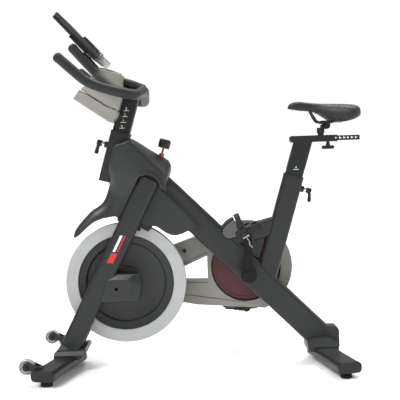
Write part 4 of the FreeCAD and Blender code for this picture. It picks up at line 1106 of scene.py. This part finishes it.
def make_guard_lines():
    """Painted shade along the moulded parting lines and under the ledge of the guard's inner
    plate, and the screw head on that plate.
    """
    y_face, half = 0.0694, 0.0009
    strips = (("upper", ((-0.120, 0.333), (-0.042, 0.369), (0.046, 0.4105))),
              ("lower", ((-0.175, 0.262), (-0.039, 0.247), (0.140, 0.219), (0.191, 0.2135))),
              ("ledge", ((-0.150, 0.2985), (0.046, 0.2920))))
    for label, points in strips:
        # Each strip is a dark band of painted shade, raised just off the plate's face.
        bm = bmesh.new()
        rows = [[bm.verts.new((x, y_face, z + lift)) for lift in (-half, half)]
                for x, z in points]
        bridge(bm, rows, closed=False)
        thicken(from_bmesh("guard_line_" + label, bm, PAINTED_LINE_SHADE, "frame", False), 0.001)
    head = [(0, 0), (0.0072, 0), (0.0072, 0.002), (0.0055, 0.0032), (0.0032, 0.0032),
            (0.0026, 0.0018), (0, 0.0018)]
    lathe("guard_screw", head, Vector((-0.041, 0.0660, 0.417)), -ACROSS, DARK_STEEL, "frame", 32)


# ---------------------------------------------------------------- stage, light and camera
def stage_object(name, bm, **values):
    """An object with a plain material, whose shader takes the values."""
    mesh = bpy.data.meshes.new(name)
    bm.to_mesh(mesh)
    bm.free()
    n = Nodes(name)
    n.put(n.shader, **values)
    mesh.materials.append(n.material)
    return in_scene(name, mesh)


def make_stage():
    """Pale floor, and a white dome that gives the object no light of its own."""
    reach = 30.0
    bm = bmesh.new()
    bm.faces.new([bm.verts.new((reach * a, reach * b, 0))
                  for a, b in ((-1, -1), (1, -1), (1, 1), (-1, 1))])
    floor = stage_object("floor", bm, Base_Color=(0.92, 0.92, 0.92, 1), Roughness=0.9)
    bm = bmesh.new()
    bmesh.ops.create_icosphere(bm, subdivisions=4, radius=reach * 0.95)
    dome = stage_object("backdrop", bm, Base_Color=(0, 0, 0, 1), Specular_IOR_Level=0,
                        Emission_Color=(1, 1, 1, 1), Emission_Strength=1.05)
    dome.visible_diffuse = False
    dome.visible_glossy = False
    dome.visible_shadow = False


def make_lights():
    bpy.context.scene.view_settings.view_transform = "Standard"
    world = bpy.data.worlds.new("studio")
    bpy.context.scene.world = world
    world.use_nodes = True
    sky = world.node_tree.nodes["Background"]
    sky.inputs["Color"].default_value = (1.0, 1.0, 1.0, 1)
    sky.inputs["Strength"].default_value = 0.42
    for name, toward, softness, strength in (
            ("key", (0.55, 0.50, -0.85), 30, 2.8),
            ("top", (-0.15, -0.35, -1.0), 40, 2.6),
            ("rim", (-0.80, 0.10, -0.45), 25, 0.7)):
        lamp = bpy.data.lights.new(name, "SUN")
        lamp.energy = strength
        lamp.angle = math.radians(softness)
        in_scene(name, lamp).rotation_euler = Vector(toward).to_track_quat("-Z", "Y").to_euler()


def make_camera():
    """Level side view from the left, a little below the handlebar, slightly rolled."""
    focal_widths = 721.0 / 400.0
    place = Vector((0.052, -2.675, 0.788))
    yaw, pitch, roll = math.radians(0.58), math.radians(3.70), math.radians(1.86)
    ahead = Vector((-math.sin(yaw) * math.cos(pitch), math.cos(yaw) * math.cos(pitch),
                    -math.sin(pitch)))
    right = ahead.cross(UP).normalized()
    above = right.cross(ahead)
    image_right = right * math.cos(roll) - above * math.sin(roll)
    image_up = right * math.sin(roll) + above * math.cos(roll)
    data = bpy.data.cameras.new("camera")
    data.sensor_width = 36
    data.lens = data.sensor_width * focal_widths
    camera = in_scene("camera", data)
    turn = Matrix((image_right, image_up, -ahead)).transposed().to_4x4()
    camera.matrix_world = Matrix.Translation(place) @ turn
    bpy.context.scene.camera = camera


def main():
    paint_nodes()
    make_camera()
    make_lights()
    make_stage()
    make_shroud()
    make_saddle()
    make_rails()
    make_bars()
    make_tray()
    make_tablet_rest()
    make_lever("bar", HEAD_TOP, 0.055, -1)
    make_lever("seat", SEAT_TOP, 0.038, 1)
    make_brake_knob()
    make_slider_knob()
    make_transport_wheels()
    make_feet()
    make_flywheel_disc()
    make_caps_and_covers()
    make_scale("bar_scale", "bar_post", HEAD_TOP, [(n, 0.018 + 0.022 * n) for n in range(4)],
               WHITE_MARK)
    make_scale("seat_scale", "seat_post", SEAT_TOP, [(4, 0.026)], WHITE_MARK)
    make_slider_marks()
    make_stripe()
    make_axle_cover()
    make_pedal_dress()
    make_guard_lines()


main()
